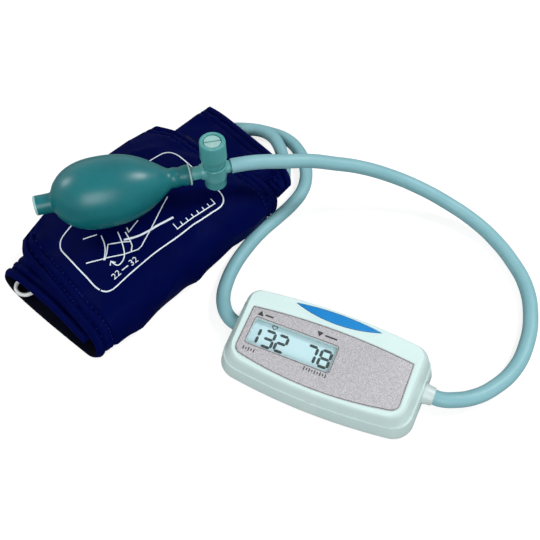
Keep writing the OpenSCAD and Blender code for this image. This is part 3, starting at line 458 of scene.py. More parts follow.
class Bench:
    """Modelling operators, each used on one piece at a time."""

    @staticmethod
    def clear() -> None:
        """Leave edit mode and deselect everything."""
        if bpy.context.object is not None and bpy.context.object.mode != "OBJECT":
            bpy.ops.object.mode_set(mode="OBJECT")
        bpy.ops.object.select_all(action="DESELECT")

    @staticmethod
    def pick(piece: Piece) -> None:
        """Make one piece the only selected and active one."""
        Bench.clear()
        piece.select_set(True)
        bpy.context.view_layer.objects.active = piece

    @staticmethod
    @contextmanager
    def editing(piece: Piece) -> Iterator[None]:
        """Edit one piece, with all of it selected at first, and leave edit mode afterwards."""
        Bench.pick(piece)
        bpy.ops.object.mode_set(mode="EDIT")
        bpy.ops.mesh.select_all(action="SELECT")
        yield
        bpy.ops.object.mode_set(mode="OBJECT")

    @staticmethod
    def named(name: str) -> Piece:
        """Name the piece that was just added, and give it."""
        piece = bpy.context.object
        piece.name = name
        piece.data.name = name
        return piece

    @staticmethod
    def seat(piece: Piece, place: Matrix) -> None:
        """Move a piece by a matrix in metres and put its place into its mesh."""
        Bench.pick(piece)
        piece.matrix_world = place @ piece.matrix_world
        bpy.ops.object.transform_apply(location=True, rotation=True, scale=True)

    @staticmethod
    def modify(piece: Piece, kind: str, **values: object) -> None:
        """Add a modifier with its values and apply it."""
        Bench.pick(piece)
        modifier = piece.modifiers.new(kind.lower(), kind)
        for name, value in values.items():
            setattr(modifier, name, value)
        bpy.ops.object.modifier_apply(modifier=modifier.name)

    @staticmethod
    def round_edges(piece: Piece, width: float, segments: int, angle: float) -> None:
        """Bevel the edges that are sharper than an angle.

        Args:
            piece: The piece.
            width: Width of the bevel, in millimetres.
            segments: Steps across it.
            angle: The least angle of a bevelled edge, in degrees.
        """
        Bench.modify(
            piece,
            "BEVEL",
            width=width * MM,
            segments=segments,
            limit_method="ANGLE",
            angle_limit=math.radians(angle),
            use_clamp_overlap=True,
            harden_normals=False,
        )

    @staticmethod
    def smooth(piece: Piece, angle: float) -> None:
        """Shade a piece smooth, except at edges sharper than an angle."""
        Bench.pick(piece)
        bpy.ops.object.shade_smooth_by_angle(angle=math.radians(angle))

    @staticmethod
    def close_up(piece: Piece) -> None:
        """Merge doubles and turn all faces outwards."""
        with Bench.editing(piece):
            bpy.ops.mesh.remove_doubles(threshold=0.002 * MM)
            bpy.ops.mesh.normals_make_consistent(inside=False)

    @staticmethod
    def turned(
        name: str, profile: Sequence[Sequence[float]], place: Matrix, around: int = 96,
        ring: bool = False
    ) -> Piece:
        """Turn a profile round the Z axis by extruding and scaling a circle.

        Args:
            name: The piece's name.
            profile: Radius and height of each step, in millimetres.
            place: Where its axis stands, in metres.
            around: Points round it.
            ring: True where the last step meets the first, as on a hollow piece.

        Returns:
            The piece.
        """
        Bench.clear()
        steps = [(max(radius, AXIS_RADIUS), height) for radius, height in profile]
        steps += [steps[0]] if ring else []
        radius, height = steps[0]
        bpy.ops.mesh.primitive_circle_add(
            vertices=around, radius=radius * MM, location=(0, 0, height * MM)
        )
        piece = Bench.named(name)
        with Bench.editing(piece):
            for (near, low), (far, high) in zip(steps, steps[1:]):
                bpy.ops.mesh.extrude_region_move(
                    TRANSFORM_OT_translate={"value": (0, 0, (high - low) * MM)}
                )
                share = far / near
                bpy.ops.transform.resize(
                    value=(share, share, 1.0), center_override=(0, 0, high * MM)
                )
        Bench.seat(piece, Matrix())
        Bench.close_up(piece)
        Bench.seat(piece, place)
        return piece

    @staticmethod
    def lofted(name: str, rings: Sequence[Sequence[Point]], capped: bool = True) -> Piece:
        """Extrude a circle from ring to ring, and set each ring's points in their places.

        Args:
            name: The piece's name.
            rings: The points of each ring, in millimetres, as many in each.
            capped: True where both ends are closed with a face.

        Returns:
            The piece.
        """
        Bench.clear()
        around = len(rings[0])
        bpy.ops.mesh.primitive_circle_add(vertices=around, radius=MM)
        piece = Bench.named(name)
        with Bench.editing(piece):
            if capped:
                bpy.ops.mesh.edge_face_add()
                bpy.ops.mesh.select_mode(type="EDGE")
            for number, ring in enumerate(rings):
                if number:
                    bpy.ops.mesh.extrude_region_move()
                shape = bmesh.from_edit_mesh(piece.data)
                shape.verts.ensure_lookup_table()
                for index, point in enumerate(ring):
                    shape.verts[number * around + index].co = Vector(point) * MM
                bmesh.update_edit_mesh(piece.data)
        return piece

    @staticmethod
    def block(name: str, size: Point, centre: Point) -> Piece:
        """Add a cube with its size and the place of its middle, in millimetres."""
        Bench.clear()
        bpy.ops.mesh.primitive_cube_add(size=MM, location=[c * MM for c in centre])
        piece = Bench.named(name)
        piece.scale = size
        bpy.ops.object.transform_apply(location=True, rotation=True, scale=True)
        return piece

    @staticmethod
    def rod(name: str, diameter: float, start: Point, end: Point) -> Piece:
        """Add a cylinder between two points, in millimetres."""
        Bench.clear()
        way = Vector(end) - Vector(start)
        bpy.ops.mesh.primitive_cylinder_add(
            vertices=ROD_SIDES,
            radius=diameter / 2 * MM,
            depth=way.length * MM,
            location=(Vector(start) + way / 2) * MM,
            rotation=way.to_track_quat("Z", "Y").to_euler(),
        )
        piece = Bench.named(name)
        bpy.ops.object.transform_apply(location=True, rotation=True, scale=True)
        return piece

    @staticmethod
    def round_uprights(piece: Piece, radius: float) -> None:
        """Round the upright edges of a block, in millimetres."""
        Bench.pick(piece)
        bpy.ops.object.mode_set(mode="EDIT")
        bpy.ops.mesh.select_mode(type="EDGE")
        bpy.ops.mesh.select_all(action="DESELECT")
        bpy.ops.object.mode_set(mode="OBJECT")
        mesh = piece.data
        for edge in mesh.edges:
            low, high = (mesh.vertices[number].co for number in edge.vertices)
            edge.select = (low - high).xy.length < 0.001 * MM
        bpy.ops.object.mode_set(mode="EDIT")
        bpy.ops.mesh.bevel(offset=radius * MM, segments=6, affect="EDGES")
        bpy.ops.mesh.select_mode(type="VERT")
        bpy.ops.object.mode_set(mode="OBJECT")

    @staticmethod
    def prism(name: str, outline: Sequence[Sequence[float]], low: float, high: float) -> Piece:
        """Extrude a flat outline from one height to another, in millimetres."""
        Bench.clear()
        bpy.ops.mesh.primitive_circle_add(vertices=len(outline), radius=MM, fill_type="NGON")
        piece = Bench.named(name)
        for vertex, (x, y) in zip(piece.data.vertices, outline):
            vertex.co = Vector((x, y, low)) * MM
        with Bench.editing(piece):
            bpy.ops.mesh.extrude_region_move(
                TRANSFORM_OT_translate={"value": (0, 0, (high - low) * MM)}
            )
            bpy.ops.mesh.select_all(action="SELECT")
            bpy.ops.mesh.normals_make_consistent(inside=False)
        return piece

    @staticmethod
    def cut(piece: Piece, cutters: Iterable[Piece], operation: str = "DIFFERENCE") -> None:
        """Take cutters out of a piece, or add them to it, and delete them."""
        for cutter in cutters:
            Bench.modify(piece, "BOOLEAN", operation=operation, solver="MANIFOLD", object=cutter)
            bpy.data.objects.remove(cutter, do_unlink=True)

    @staticmethod
    def joined(name: str, parts: Sequence[Piece]) -> Piece:
        """Join parts into one piece."""
        Bench.clear()
        for part in parts:
            part.select_set(True)
        bpy.context.view_layer.objects.active = parts[0]
        bpy.ops.object.join()
        return Bench.named(name)

    @staticmethod
    def wear(piece: Piece, material: bpy.types.Material) -> None:
        """Give a piece one material."""
        piece.data.materials.clear()
        piece.data.materials.append(material)


@dataclass(frozen=True)
class BowedPlan:
    """Outline with a bowed back and front, tapered sides and round corners."""

    half: float
    back: float
    front: float
    back_bow: float
    front_bow: float
    taper: float
    back_radius: float
    front_radius: float

    def outline(self, straight: int = 40, corner: int = 14, side: int = 10) -> list[Flat]:
        """Give the outline, anticlockwise from the middle of the front.

        Args:
            straight: Parts of each bowed edge.
            corner: Parts of each corner.
            side: Parts of each straight side.

        Returns:
            The points as X and Y, in millimetres.
        """
        front_r = (self.half**2 + self.front_bow**2) / (2 * self.front_bow)
        back_r = (self.half**2 + self.back_bow**2) / (2 * self.back_bow)
        front_c = Vector((0.0, self.front + front_r))
        back_c = Vector((0.0, self.back - back_r))
        low, high = Vector((self.half - self.taper, self.front)), Vector((self.half, self.back))
        way = (high - low).normalized()
        inward = Vector((-way.y, way.x))

        def corner_middle(centre: Vector, reach: float, radius: float, sign: float) -> Vector:
            """Give the middle of a corner's arc between the side and a bow."""
            start = low + inward * radius - centre
            along = start.dot(way)
            root = math.sqrt(along**2 - start.length_squared + (reach - radius) ** 2)
            return centre + start + way * (-along + sign * root)

        def arc(
            middle: Vector, radius: float, first: float, last: float, parts: int
        ) -> list[Vector]:
            """Give points along an arc, its last one left out."""
            angles = [lerp(first, last, step / parts) for step in range(parts)]
            return [middle + radius * Vector((math.cos(a), math.sin(a))) for a in angles]

        front_m = corner_middle(front_c, front_r, self.front_radius, -1.0)
        back_m = corner_middle(back_c, back_r, self.back_radius, 1.0)
        out_angle = math.atan2(-inward.y, -inward.x)
        front_a = math.atan2(*(front_m - front_c).yx)
        back_a = math.atan2(*(back_m - back_c).yx)
        side_low = front_m - inward * self.front_radius
        side_high = back_m - inward * self.back_radius
        right = arc(front_c, front_r, -math.pi / 2, front_a, straight // 2)
        right += arc(front_m, self.front_radius, front_a, out_angle, corner)
        right += [side_low.lerp(side_high, step / side) for step in range(side)]
        right += arc(back_m, self.back_radius, out_angle, back_a, corner)
        right += arc(back_c, back_r, back_a, math.pi / 2, straight // 2)
        top = Vector((0.0, self.back))
        left = [Vector((-p.x, p.y)) for p in reversed(right[1:])]
        return [(p.x, p.y) for p in [*right, top, *left]]


@dataclass(frozen=True)
class Face:
    """The sloping face of the display unit and its frame."""

    height: float = 25.1
    tilt: float = 6.3

    def place(self) -> Matrix:
        """Give the matrix from the face's own frame to the object's, in metres."""
        turn = Matrix.Rotation(math.radians(self.tilt), 4, "X")
        return Matrix.Translation((0, 0, self.height * MM)) @ turn


@dataclass
class Shop:
    """What every sub-assembly shares: the effects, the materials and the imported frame."""

    frame: dict
    effects: Effects
    finishes: dict[str, bpy.types.Material] = field(default_factory=dict)

    def material(self, finish: Finish) -> bpy.types.Material:
        """Build a finish once and give its material."""
        if finish.name not in self.finishes:
            self.finishes[finish.name] = finish.build(self.effects)
        return self.finishes[finish.name]

    def dress(self, node: str, finish: Finish) -> None:
        """Give a CAD node's object its material."""
        piece = self.frame["nodes"][node]
        material = self.material(finish)
        if not piece.material_slots:
            piece.data.materials.append(material)
        for slot in piece.material_slots:
            slot.material = material

    def dress_all(self, finishes: dict[str, Finish]) -> None:
        """Give several CAD nodes their materials."""
        for node, finish in finishes.items():
            self.dress(node, finish)

    def settle(
        self, piece: Piece, finish: Finish, slot: str, body: str = "base",
        replaces: Sequence[str] = ()
    ) -> Piece:
        """Dress a new piece and tie it to the model.

        Args:
            piece: The piece.
            finish: Its finish.
            slot: The record's material slot; not used.
            body: The body that it rides on.
            replaces: CAD nodes that it stands for.

        Returns:
            The piece.
        """
        Bench.wear(piece, self.material(finish))
        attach(piece, body)
        if replaces:
            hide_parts(*replaces)
        count = len(piece.data.polygons) if piece.type == "MESH" else 0
        LOG.info("%s: %d faces on %s", piece.name, count, body)
        return piece

    def complete(
        self, piece: Piece, finish: Finish, slot: str, node: str, angle: float = 35.0,
        edges: Sequence[float] = (), body: str = "base"
    ) -> Piece:
        """Round a piece's edges, shade it and let it stand for one CAD node.

        Args:
            piece: The piece.
            finish: Its finish.
            slot: The record's material slot.
            node: The CAD node that it stands for.
            angle: The least angle that stays sharp in the shading, in degrees.
            edges: Width, steps and least angle of the rounded edges, or nothing.
            body: The body that it rides on.

        Returns:
            The piece.
        """
        if edges:
            Bench.round_edges(piece, *edges)
        Bench.smooth(piece, angle)
        return self.settle(piece, finish, slot, body, [node])


class Palette:
    """Every finish of the object, named for what it is on.

    The three tones are the main one, the one it clouds into and the one of its rubbed edges.
    """

    case = Finish(
        "case_white", (206, 229, 227), (201, 225, 223), (226, 239, 238),
        roughness=(0.34, 0.44), relief=0.006, grain=1400.0, wear=0.25, dust=0.02, specular=0.4,
    )
    panel = FlakeFinish(
        "panel_silver", (160, 160, 164), (156, 156, 160), (182, 182, 186),
        roughness=(0.55, 0.62), relief=0.003, wear=0.1, dust=0.02, mottle=160.0, specular=0.35,
        flake=(206, 204, 208),
    )
    print_ink = Finish(
        "print_grey", (24, 26, 32), (20, 22, 28), (48, 52, 58), roughness=(0.5, 0.6), relief=0.002
    )
    window = ClearFinish(
        "window_clear", (225, 245, 248), (220, 240, 245), (240, 250, 250),
        roughness=(0.05, 0.09), relief=0.001, dust=0.01, wear=0.0, specular=0.5, alpha=0.035,
    )
    lcd = Finish(
        "lcd_pale", (192, 224, 230), (187, 220, 227), (203, 230, 234),
        roughness=(0.3, 0.36), relief=0.002, dust=0.0, wear=0.0,
    )
    digit = Finish(
        "lcd_digit", (2, 30, 32), (2, 28, 30), (16, 44, 44), roughness=(0.5, 0.55), dust=0.0,
        wear=0.0, specular=0.2
    )
    key = Finish(
        "key_blue", (22, 124, 194), (28, 134, 204), (90, 164, 220),
        roughness=(0.32, 0.42), relief=0.005, grain=1600.0, wear=0.35, specular=0.25,
    )
    plug = Finish(
        "plug_white", (196, 210, 211), (189, 204, 205), (218, 228, 229), roughness=(0.3, 0.42),
        relief=0.006
    )
    hose = Finish(
        "hose_teal", (134, 182, 190), (125, 175, 184), (154, 196, 202), roughness=(0.42, 0.52),
        specular=0.28, relief=0.012, grain=1100.0, wear=0.0, dust=0.05, mottle=60.0,
    )
    bulb = Finish(
        "bulb_rubber", (4, 109, 115), (2, 97, 103), (36, 130, 133), roughness=(0.3, 0.38),
        relief=0.008, grain=1000.0, coarse=0.8, wear=0.2, dust=0.05, mottle=55.0, specular=0.34,
    )
    mint = Finish(
        "mint_plastic", (150, 194, 190), (140, 186, 183), (220, 236, 233),
        roughness=(0.3, 0.42), relief=0.006, wear=0.3, specular=0.3,
    )
    valve = Finish(
        "valve_teal", (74, 152, 153), (66, 143, 145), (150, 200, 198),
        roughness=(0.26, 0.36), relief=0.006, wear=0.25, specular=0.4,
    )
    seal = Finish(
        "seal_black", (30, 32, 34), (24, 26, 28), (52, 54, 56), roughness=(0.5, 0.65), relief=0.02
    )
    cloth = ClothFinish(
        "cuff_navy", (0, 5, 50), (0, 2, 30), (6, 16, 84), roughness=(0.42, 0.55), relief=0.1,
        wear=0.2, dust=0.0, mottle=0.06, specular=0.015, pitch=1.2, thread=(1, 13, 86),
    )
    # The lining's tones are darkened to near black, well below the cover's navy: painted shade for
    # the shadowed inside of the folds.
    lining = ClothFinish(
        "lining_navy_painted_shade", (0, 1, 12), (0, 1, 9), (4, 7, 30), roughness=(0.7, 0.85), relief=0.08,
        wear=0.0, dust=0.0, mottle=0.08, specular=0.04, pitch=1.1, thread=(1, 3, 20),
    )
    hook = ClothFinish(
        "hook_tape", (14, 15, 34), (10, 11, 28), (30, 32, 54), roughness=(0.7, 0.8), relief=0.35,
        wear=0.0, dust=0.02, mottle=0.1, specular=0.15, pitch=0.8, thread=(24, 26, 50),
    )
    stitch = Finish(
        "stitch_navy", (14, 24, 96), (10, 18, 84), (40, 50, 120), roughness=(0.6, 0.7), relief=0.02,
        specular=0.15
    )
    label = Finish(
        "label_ink", (226, 234, 242), (214, 224, 236), (240, 244, 248),
        roughness=(0.5, 0.6), relief=0.02, dust=0.05, mottle=260.0,
    )
    bright = Finish(
        "bright_metal", (205, 207, 208), (190, 192, 194), (230, 230, 230),
        roughness=(0.14, 0.26), metallic=1.0, relief=0.004, brushed=True,
    )
    ring = Finish(
        "ring_pale", (226, 230, 228), (214, 218, 218), (245, 246, 245), roughness=(0.2, 0.32),
        relief=0.004
    )
    screw = Finish(
        "screw_zinc", (160, 162, 164), (146, 148, 150), (190, 190, 190),
        roughness=(0.28, 0.4), metallic=1.0, relief=0.006, brushed=True,
    )
    dark = Finish(
        "dark_plastic", (38, 39, 42), (32, 33, 36), (70, 72, 76), roughness=(0.45, 0.6),
        relief=0.012
    )
    pale = Finish(
        "pale_plastic", (216, 214, 204), (206, 204, 194), (232, 230, 222), roughness=(0.35, 0.5),
        relief=0.01
    )
    tube = Finish(
        "soft_tube", (190, 198, 194), (180, 190, 186), (210, 216, 212), roughness=(0.4, 0.5),
        relief=0.01
    )
    contact = Finish(
        "contact_rubber", (196, 150, 178), (180, 136, 164), (214, 176, 198), roughness=(0.5, 0.6),
        relief=0.02
    )
    board = FlakeFinish(
        "board_green", (20, 96, 58), (16, 84, 50), (90, 140, 100),
        roughness=(0.3, 0.45), relief=0.02, grain=500.0, flake=(40, 124, 76), flake_scale=900.0,
    )
    cell = Finish(
        "cell_wrap", (184, 168, 96), (172, 154, 84), (210, 200, 150),
        roughness=(0.25, 0.38), metallic=0.4, relief=0.004, brushed=True,
    )


@dataclass
class Studio:
    """Pale floor, soft lamps and the photograph's camera."""

    lens: float = 47.473
    sensor: float = 36.0
    camera_at: Point = (41.5, -168.9, 337.4)
    look_at: Point = (-51.17, 48.43, 0.0)
    floor_side: float = 4800.0
    floor_drop: float = 0.05
    floor_grey: float = 0.3
    floor_glow: float = 0.8
    air_light: float = 0.18

    @staticmethod
    def aimed(name: str, data: bpy.types.ID, at: Point, aim: Point) -> Piece:
        """Place a camera or a lamp at one point, in millimetres, and aim it at another."""
        holder = bpy.data.objects.new(name, data)
        bpy.context.scene.collection.objects.link(holder)
        holder.location = Vector(at) * MM
        way = (Vector(aim) - Vector(at)).normalized()
        holder.rotation_euler = way.to_track_quat("-Z", "Y").to_euler()
        return holder

    def camera(self) -> None:
        """Set up the camera at the photograph's place."""
        data = bpy.data.cameras.new("photo_camera")
        data.lens, data.sensor_width, data.sensor_fit = self.lens, self.sensor, "HORIZONTAL"
        data.clip_start, data.clip_end = 0.01, 20.0
        bpy.context.scene.camera = self.aimed("photo_camera", data, self.camera_at, self.look_at)

    def lamp(self, name: str, at: Point, aim: Point, side: float, power: float) -> None:
        """Add one soft square lamp of white light.

        Args:
            name: The lamp's name.
            at: Its place, in millimetres.
            aim: The point that it faces.
            side: Length of its side.
            power: Its power, in watts.
        """
        data = bpy.data.lights.new(name, "AREA")
        data.size, data.energy, data.color = side * MM, power, WHITE[:3]
        self.aimed(name, data, at, aim)

    def lamps(self) -> None:
        """Light the object with a key lamp at the back right, a side lamp and a soft front lamp."""
        self.lamp("key_lamp", (390.0, 420.0, 715.0), (-60.0, 40.0, 0.0), 230.0, 5.0)
        self.lamp("side_lamp", (-830.0, -50.0, 510.0), (-130.0, 30.0, 40.0), 200.0, 2.1)
        self.lamp("front_lamp", (200.0, -700.0, 560.0), (0.0, 20.0, 0.0), 520.0, 5.6)

    def world(self) -> None:
        """Make the world white to the camera and softer to the object."""
        world = bpy.data.worlds.new("studio_air")
        bpy.context.scene.world = world
        world.use_nodes = True
        desk = Desk(world.node_tree)
        air = world.node_tree.nodes["Background"]
        path = desk.add("ShaderNodeLightPath")
        seen = desk.math("MAXIMUM", path.outputs["Is Camera Ray"], path.outputs["Is Glossy Ray"])
        seen = desk.math("MAXIMUM", seen, path.outputs["Is Transmission Ray"])
        desk.feed(air.inputs["Strength"], desk.remap(seen, 0.0, 1.0, self.air_light, 1.0))
        desk.feed(air.inputs["Color"], WHITE)

    def floor(self) -> None:
        """Lay the pale floor, which keeps the object's shadow."""
        Bench.clear()
        bpy.ops.mesh.primitive_plane_add(
            size=self.floor_side * MM, location=(0, 0, -self.floor_drop * MM)
        )
        floor = Bench.named("studio_floor")
        material = bpy.data.materials.new("floor_white")
        material.use_nodes = True
        desk = Desk(material.node_tree)
        surface = material.node_tree.nodes["Principled BSDF"]
        path = desk.add("ShaderNodeLightPath")
        for name, value in (
            ("Base Color", (self.floor_grey, self.floor_grey, self.floor_grey, 1.0)),
            ("Roughness", 0.9), ("Specular IOR Level", 0.1), ("Emission Color", WHITE),
            (
                "Emission Strength",
                desk.remap(path.outputs["Is Camera Ray"], 0.0, 1.0, 0.0, self.floor_glow),
            ),
        ):
            desk.feed(surface.inputs[name], value)
        Bench.wear(floor, material)

    def build(self) -> None:
        """Build the whole studio."""
        bpy.context.scene.view_settings.view_transform = "Standard"
        self.camera()
        self.lamps()
        self.world()
        self.floor()


@dataclass
class Hoses:
    """The two air hoses, which lie where their CAD solids lie."""

    shop: Shop
    palette: Palette
    diameter: float = 8.0
    plug_bore: float = 2.35
    bulb_route: tuple[Point, ...] = (
        (-82.3, 67.7, 55), (-79.96, 69.575, 55), (-70.9, 77.4, 53.4), (-59, 87.6, 49),
        (-46.7, 97.8, 44.5), (-36, 106, 39), (-23.5, 114.6, 33), (-7.4, 122.3, 25.5),
        (10.6, 127.1, 18), (29.6, 127.9, 11.5), (50.3, 123.5, 6.8), (64, 116.5, 4.6), (76, 106, 4),
        (86.3, 92.6, 4), (92.9, 74.2, 4), (94.5, 54.3, 4), (91.5, 37, 4.2), (84.4, 23, 4.8),
        (76, 13, 5.8), (67, 7, 6.6), (60.2, 4.5, 7), (57.25, 4.5, 7),
    )
    cuff_route: tuple[Point, ...] = (
        (-44.05, 4.5, 7), (-49.5, 4.5, 7), (-54.5, 5.3, 6.9), (-59.1, 8, 6.3), (-63.3, 12.6, 5.5),
        (-66.8, 19, 4.7), (-69.1, 27.5, 4.1), (-70.1, 40, 4), (-68.8, 55, 4), (-65.6, 70, 4),
        (-60.9, 83.6, 4), (-57, 96, 4), (-55.2, 108, 4), (-56.8, 119, 4), (-61.6, 129.6, 4),
        (-69.2, 139, 4), (-80, 146, 4), (-94.2, 147.5, 4), (-109, 145, 4), (-121.5, 137, 5.6),
        (-129.2, 125.3, 8.4), (-133.5, 115.2, 9.4), (-135.5, 104.2, 9.4), (-134.1, 91.9, 9.4),
        (-128.4, 80.2, 9.4), (-118.2, 71.6, 9.4), (-105.7, 68, 9.4), (-91, 69.9, 9.4),
        (-78, 79.3, 9.4), (-70.6, 92, 9.4), (-68.1, 107, 7.6), (-71.3, 118.7, 6.6),
        (-76.6, 127.6, 9), (-82.2, 133.9, 11), (-89.1, 139.1, 10.8), (-98.2, 140.8, 10.4),
        (-106.4, 137.6, 10.2), (-113.4, 128.8, 10), (-118, 112.3, 9.4), (-119.98, 107.03, 9.4),
    )

    def hose(self, name: str, route: Sequence[Point]) -> Piece:
        """Run one hose along its route.

        Args:
            name: The hose's name.
            route: Its points, in millimetres.

        Returns:
            The hose, a curve of one open spline.
        """
        Bench.clear()
        bpy.ops.curve.primitive_bezier_curve_add()
        hose = Bench.named(name)
        curve = hose.data
        curve.dimensions = "3D"
        curve.bevel_depth = self.diameter / 2 * MM
        curve.bevel_resolution = 10
        curve.resolution_u = 8
        curve.use_fill_caps = True
        points = curve.splines[0].bezier_points
        points.add(len(route) - len(points))
        for point, place in zip(points, route):
            point.handle_left_type = point.handle_right_type = "AUTO"
            point.co = Vector(place) * MM
        return hose

    def build(self) -> None:
        hose = self.hose("air_hose_bulb", self.bulb_route)
        self.shop.settle(hose, self.palette.hose, "hose", replaces=["bulb_hose"])
        plug = self.plug()
        lead = self.hose("air_hose_cuff", self.cuff_route)
        self.shop.settle(lead, self.palette.hose, "hose", replaces=["cuff_hose"])

    def plug(self) -> Piece:
        """Turn the white plug in the right-hand socket."""
        turn = Matrix.Rotation(math.pi / 2, 4, "Y")
        place = Matrix.Translation((0, AIR_LINE[0] * MM, AIR_LINE[1] * MM)) @ turn
        bore = self.plug_bore
        profile = [
            (bore, 43.2), (2.95, 43.2), (3.2, 43.6), (3.2, 48.3), (4.6, 48.5), (5.1, 48.7),
            (5.25, 49.0), (5.25, 50.9), (5.05, 51.1), (5.05, 51.6), (5.25, 51.8), (5.25, 53.1),
            (5.1, 54.0), (4.85, 55.6), (4.66, 56.9), (4.5, 57.2), (bore, 57.2),
        ]
        plug = Bench.turned("air_plug", profile, place, ring=True)
        return self.shop.complete(plug, self.palette.plug, "plug", "hose_plug")


@dataclass
class MonitorUnit:
    """The display unit: two shells, silver panel, display and start key."""

    shop: Shop
    palette: Palette
    face: Face = Face()
    length: float = 107.6
    depth: float = 53.0
    side_lean: float = 7.2
    back_lean: float = 6.3
    front_lean: float = 2.0
    parting: float = 13.5
    ledge: float = 0.5
    side_share: float = 0.36
    front_share: float = 0.2
    wall: float = 1.8
    face_wall: float = 1.8
    plan: BowedPlan = BowedPlan(53.8, 26.5, -26.5, 4.0, 4.8, 2.0, 7.0, 11.5)
    panel_plan: BowedPlan = BowedPlan(43.1, 10.8, -23.2, 2.8, 4.8, 0.05, 0.9, 5.0)
    panel_middle: float = -6.2
    panel_depth: float = 17.0
    panel_gap: float = 0.1
    panel_recess: float = 0.6
    panel_thick: float = 0.5
    window: tuple[float, float, float, float] = (-16.8, -4.8, 44.4, 14.4)
    window_radius: float = 1.0
    bay_at: Flat = (-6.0, -12.6)
    digit_low: float = -2.9
    digit_high: float = -2.84
    bar_thick: float = 0.74
    bar_gap: float = 0.14
    key_middle: float = 17.6
    shell_edges: tuple[float, int, float] = (0.22, 2, 50.0)
    post_width: float = 5.8
    post_bore: float = 2.5
    screw_head: float = 5.6
    screw_hole: float = 3.0
    panel_parts: tuple[int, int, int] = (40, 12, 6)
    upper_rows: tuple[tuple[float, float, float], ...] = (
        (6.2, 0.58, 0.35), (2.2, 0.79, 0.52), (0.7, 0.92, 0.72), (0.0, 1.0, 1.0),
    )
    foot_rows: tuple[Flat, ...] = ((2.2, 0.0), (1.3, 0.3), (0.73, 0.8), (0.2, 1.7), (0.0, 2.6))
    groove_shrink: Flat = (0.985, 0.97)
    groove_rise: float = 0.5
    posts: tuple[Flat, ...] = ((-41.2, -17.6), (41.2, -17.6), (-43.0, 14.0), (43.0, 14.0))

    def ring(
        self, side: float, back: float, front: float, level: Callable[[float], float]
    ) -> list[Point]:
        """Give the plan drawn in at its sides, back and front.

        Args:
            side: Inset of each side, in millimetres.
            back: Inset of the back.
            front: Inset of the front.
            level: The height for each Y.

        Returns:
            The ring's points.
        """
        wide = 1 - 2 * side / self.length
        deep = 1 - (back + front) / self.depth
        shift = (front - back) / 2
        return [
            (x * wide, y * deep + shift, level(y * deep + shift)) for x, y in self.plan.outline()
        ]

    def sloped(self, drop: float) -> Callable[[float], float]:
        """Give the height at each Y on a plane at a drop under the face."""
        rise = math.tan(math.radians(self.face.tilt))
        return lambda y: self.face.height + y * rise - drop

    def upper_rings(self, wall: float, drop: float, steps: int) -> list[list[Point]]:
        """Give the rings of the upper shell, from the parting line to the face.

        Args:
            wall: How far they are drawn in.
            drop: How far they lie under the face.
            steps: Steps between two rows.

        Returns:
            The rings.
        """
        rows = [(self.side_share, self.front_share, lambda y: self.parting)]
        rows += [(side, front, self.sloped(depth + drop)) for depth, side, front in self.upper_rows]
        rings = [
            self.ring(
                self.side_lean * side + wall, self.back_lean * side + wall,
                self.front_lean * front + wall, level
            )
            for side, front, level in rows
        ]
        flat = [[c for point in ring for c in point] for ring in rings]
        return [list(zip(row[0::3], row[1::3], row[2::3])) for row in smoothed(flat, steps)]

    def window_block(self, name: str, grow: float, tall: float, z: float, radius: float) -> Piece:
        """Add a block with round corners over the window.

        Args:
            name: The block's name.
            grow: How much wider and deeper than the window it is, in millimetres.
            tall: Its height.
            z: The height of its middle.
            radius: Radius of its upright edges.

        Returns:
            The block.
        """
        x, y, wide, deep = self.window
        block = Bench.block(name, (wide + grow, deep + grow, tall), (x, y, z))
        Bench.round_uprights(block, radius)
        return block

    def upper_shell(self) -> None:
        """Make the upper shell with its recess, window, key slot and posts."""
        outer = self.upper_rings(0.0, 0.0, 4)
        wide, deep = self.groove_shrink
        groove = [
            [(x * wide, y * deep, z + rise) for x, y, z in outer[0]]
            for rise in (0.0, self.groove_rise)
        ]
        outer[0] = [(x, y, z + self.groove_rise) for x, y, z in outer[0]]
        inner = self.upper_rings(self.wall, self.face_wall, 2)
        shell = Bench.lofted("upper_shell", [*inner[::-1], *groove, *outer])
        Bench.close_up(shell)
        seat = self.face.place()
        recess = Bench.prism("recess", self.panel_cut(), -self.panel_recess, 3.0)
        Bench.seat(recess, seat)
        opening = self.window_block("opening", 0.0, 8.0, -2.0, self.window_radius)
        Bench.seat(opening, seat)
        slot = Bench.prism("slot", self.key_outline(0.0), -6.0, 3.0)
        Bench.seat(slot, seat)
        Bench.cut(shell, [recess, opening, slot])
        posts = []
        under = self.sloped(self.face_wall + 0.3)
        for x, y in self.posts:
            top = under(y)
            post = Bench.rod("post", self.post_width, (x, y, self.parting), (x, y, top))
            low, high = (x, y, self.parting - 1), (x, y, self.parting + 6)
            Bench.cut(post, [Bench.rod("bore", self.post_bore, low, high)])
            posts.append(post)
        Bench.cut(shell, posts, "UNION")
        self.shop.complete(shell, self.palette.case, "case", "top_case", edges=self.shell_edges)

    @staticmethod
    def air_rod(name: str, diameter: float, start: float, end: float) -> Piece:
        """Add a cylinder along the unit's air line from one X to another."""
        return Bench.rod(name, diameter, (start, *AIR_LINE), (end, *AIR_LINE))

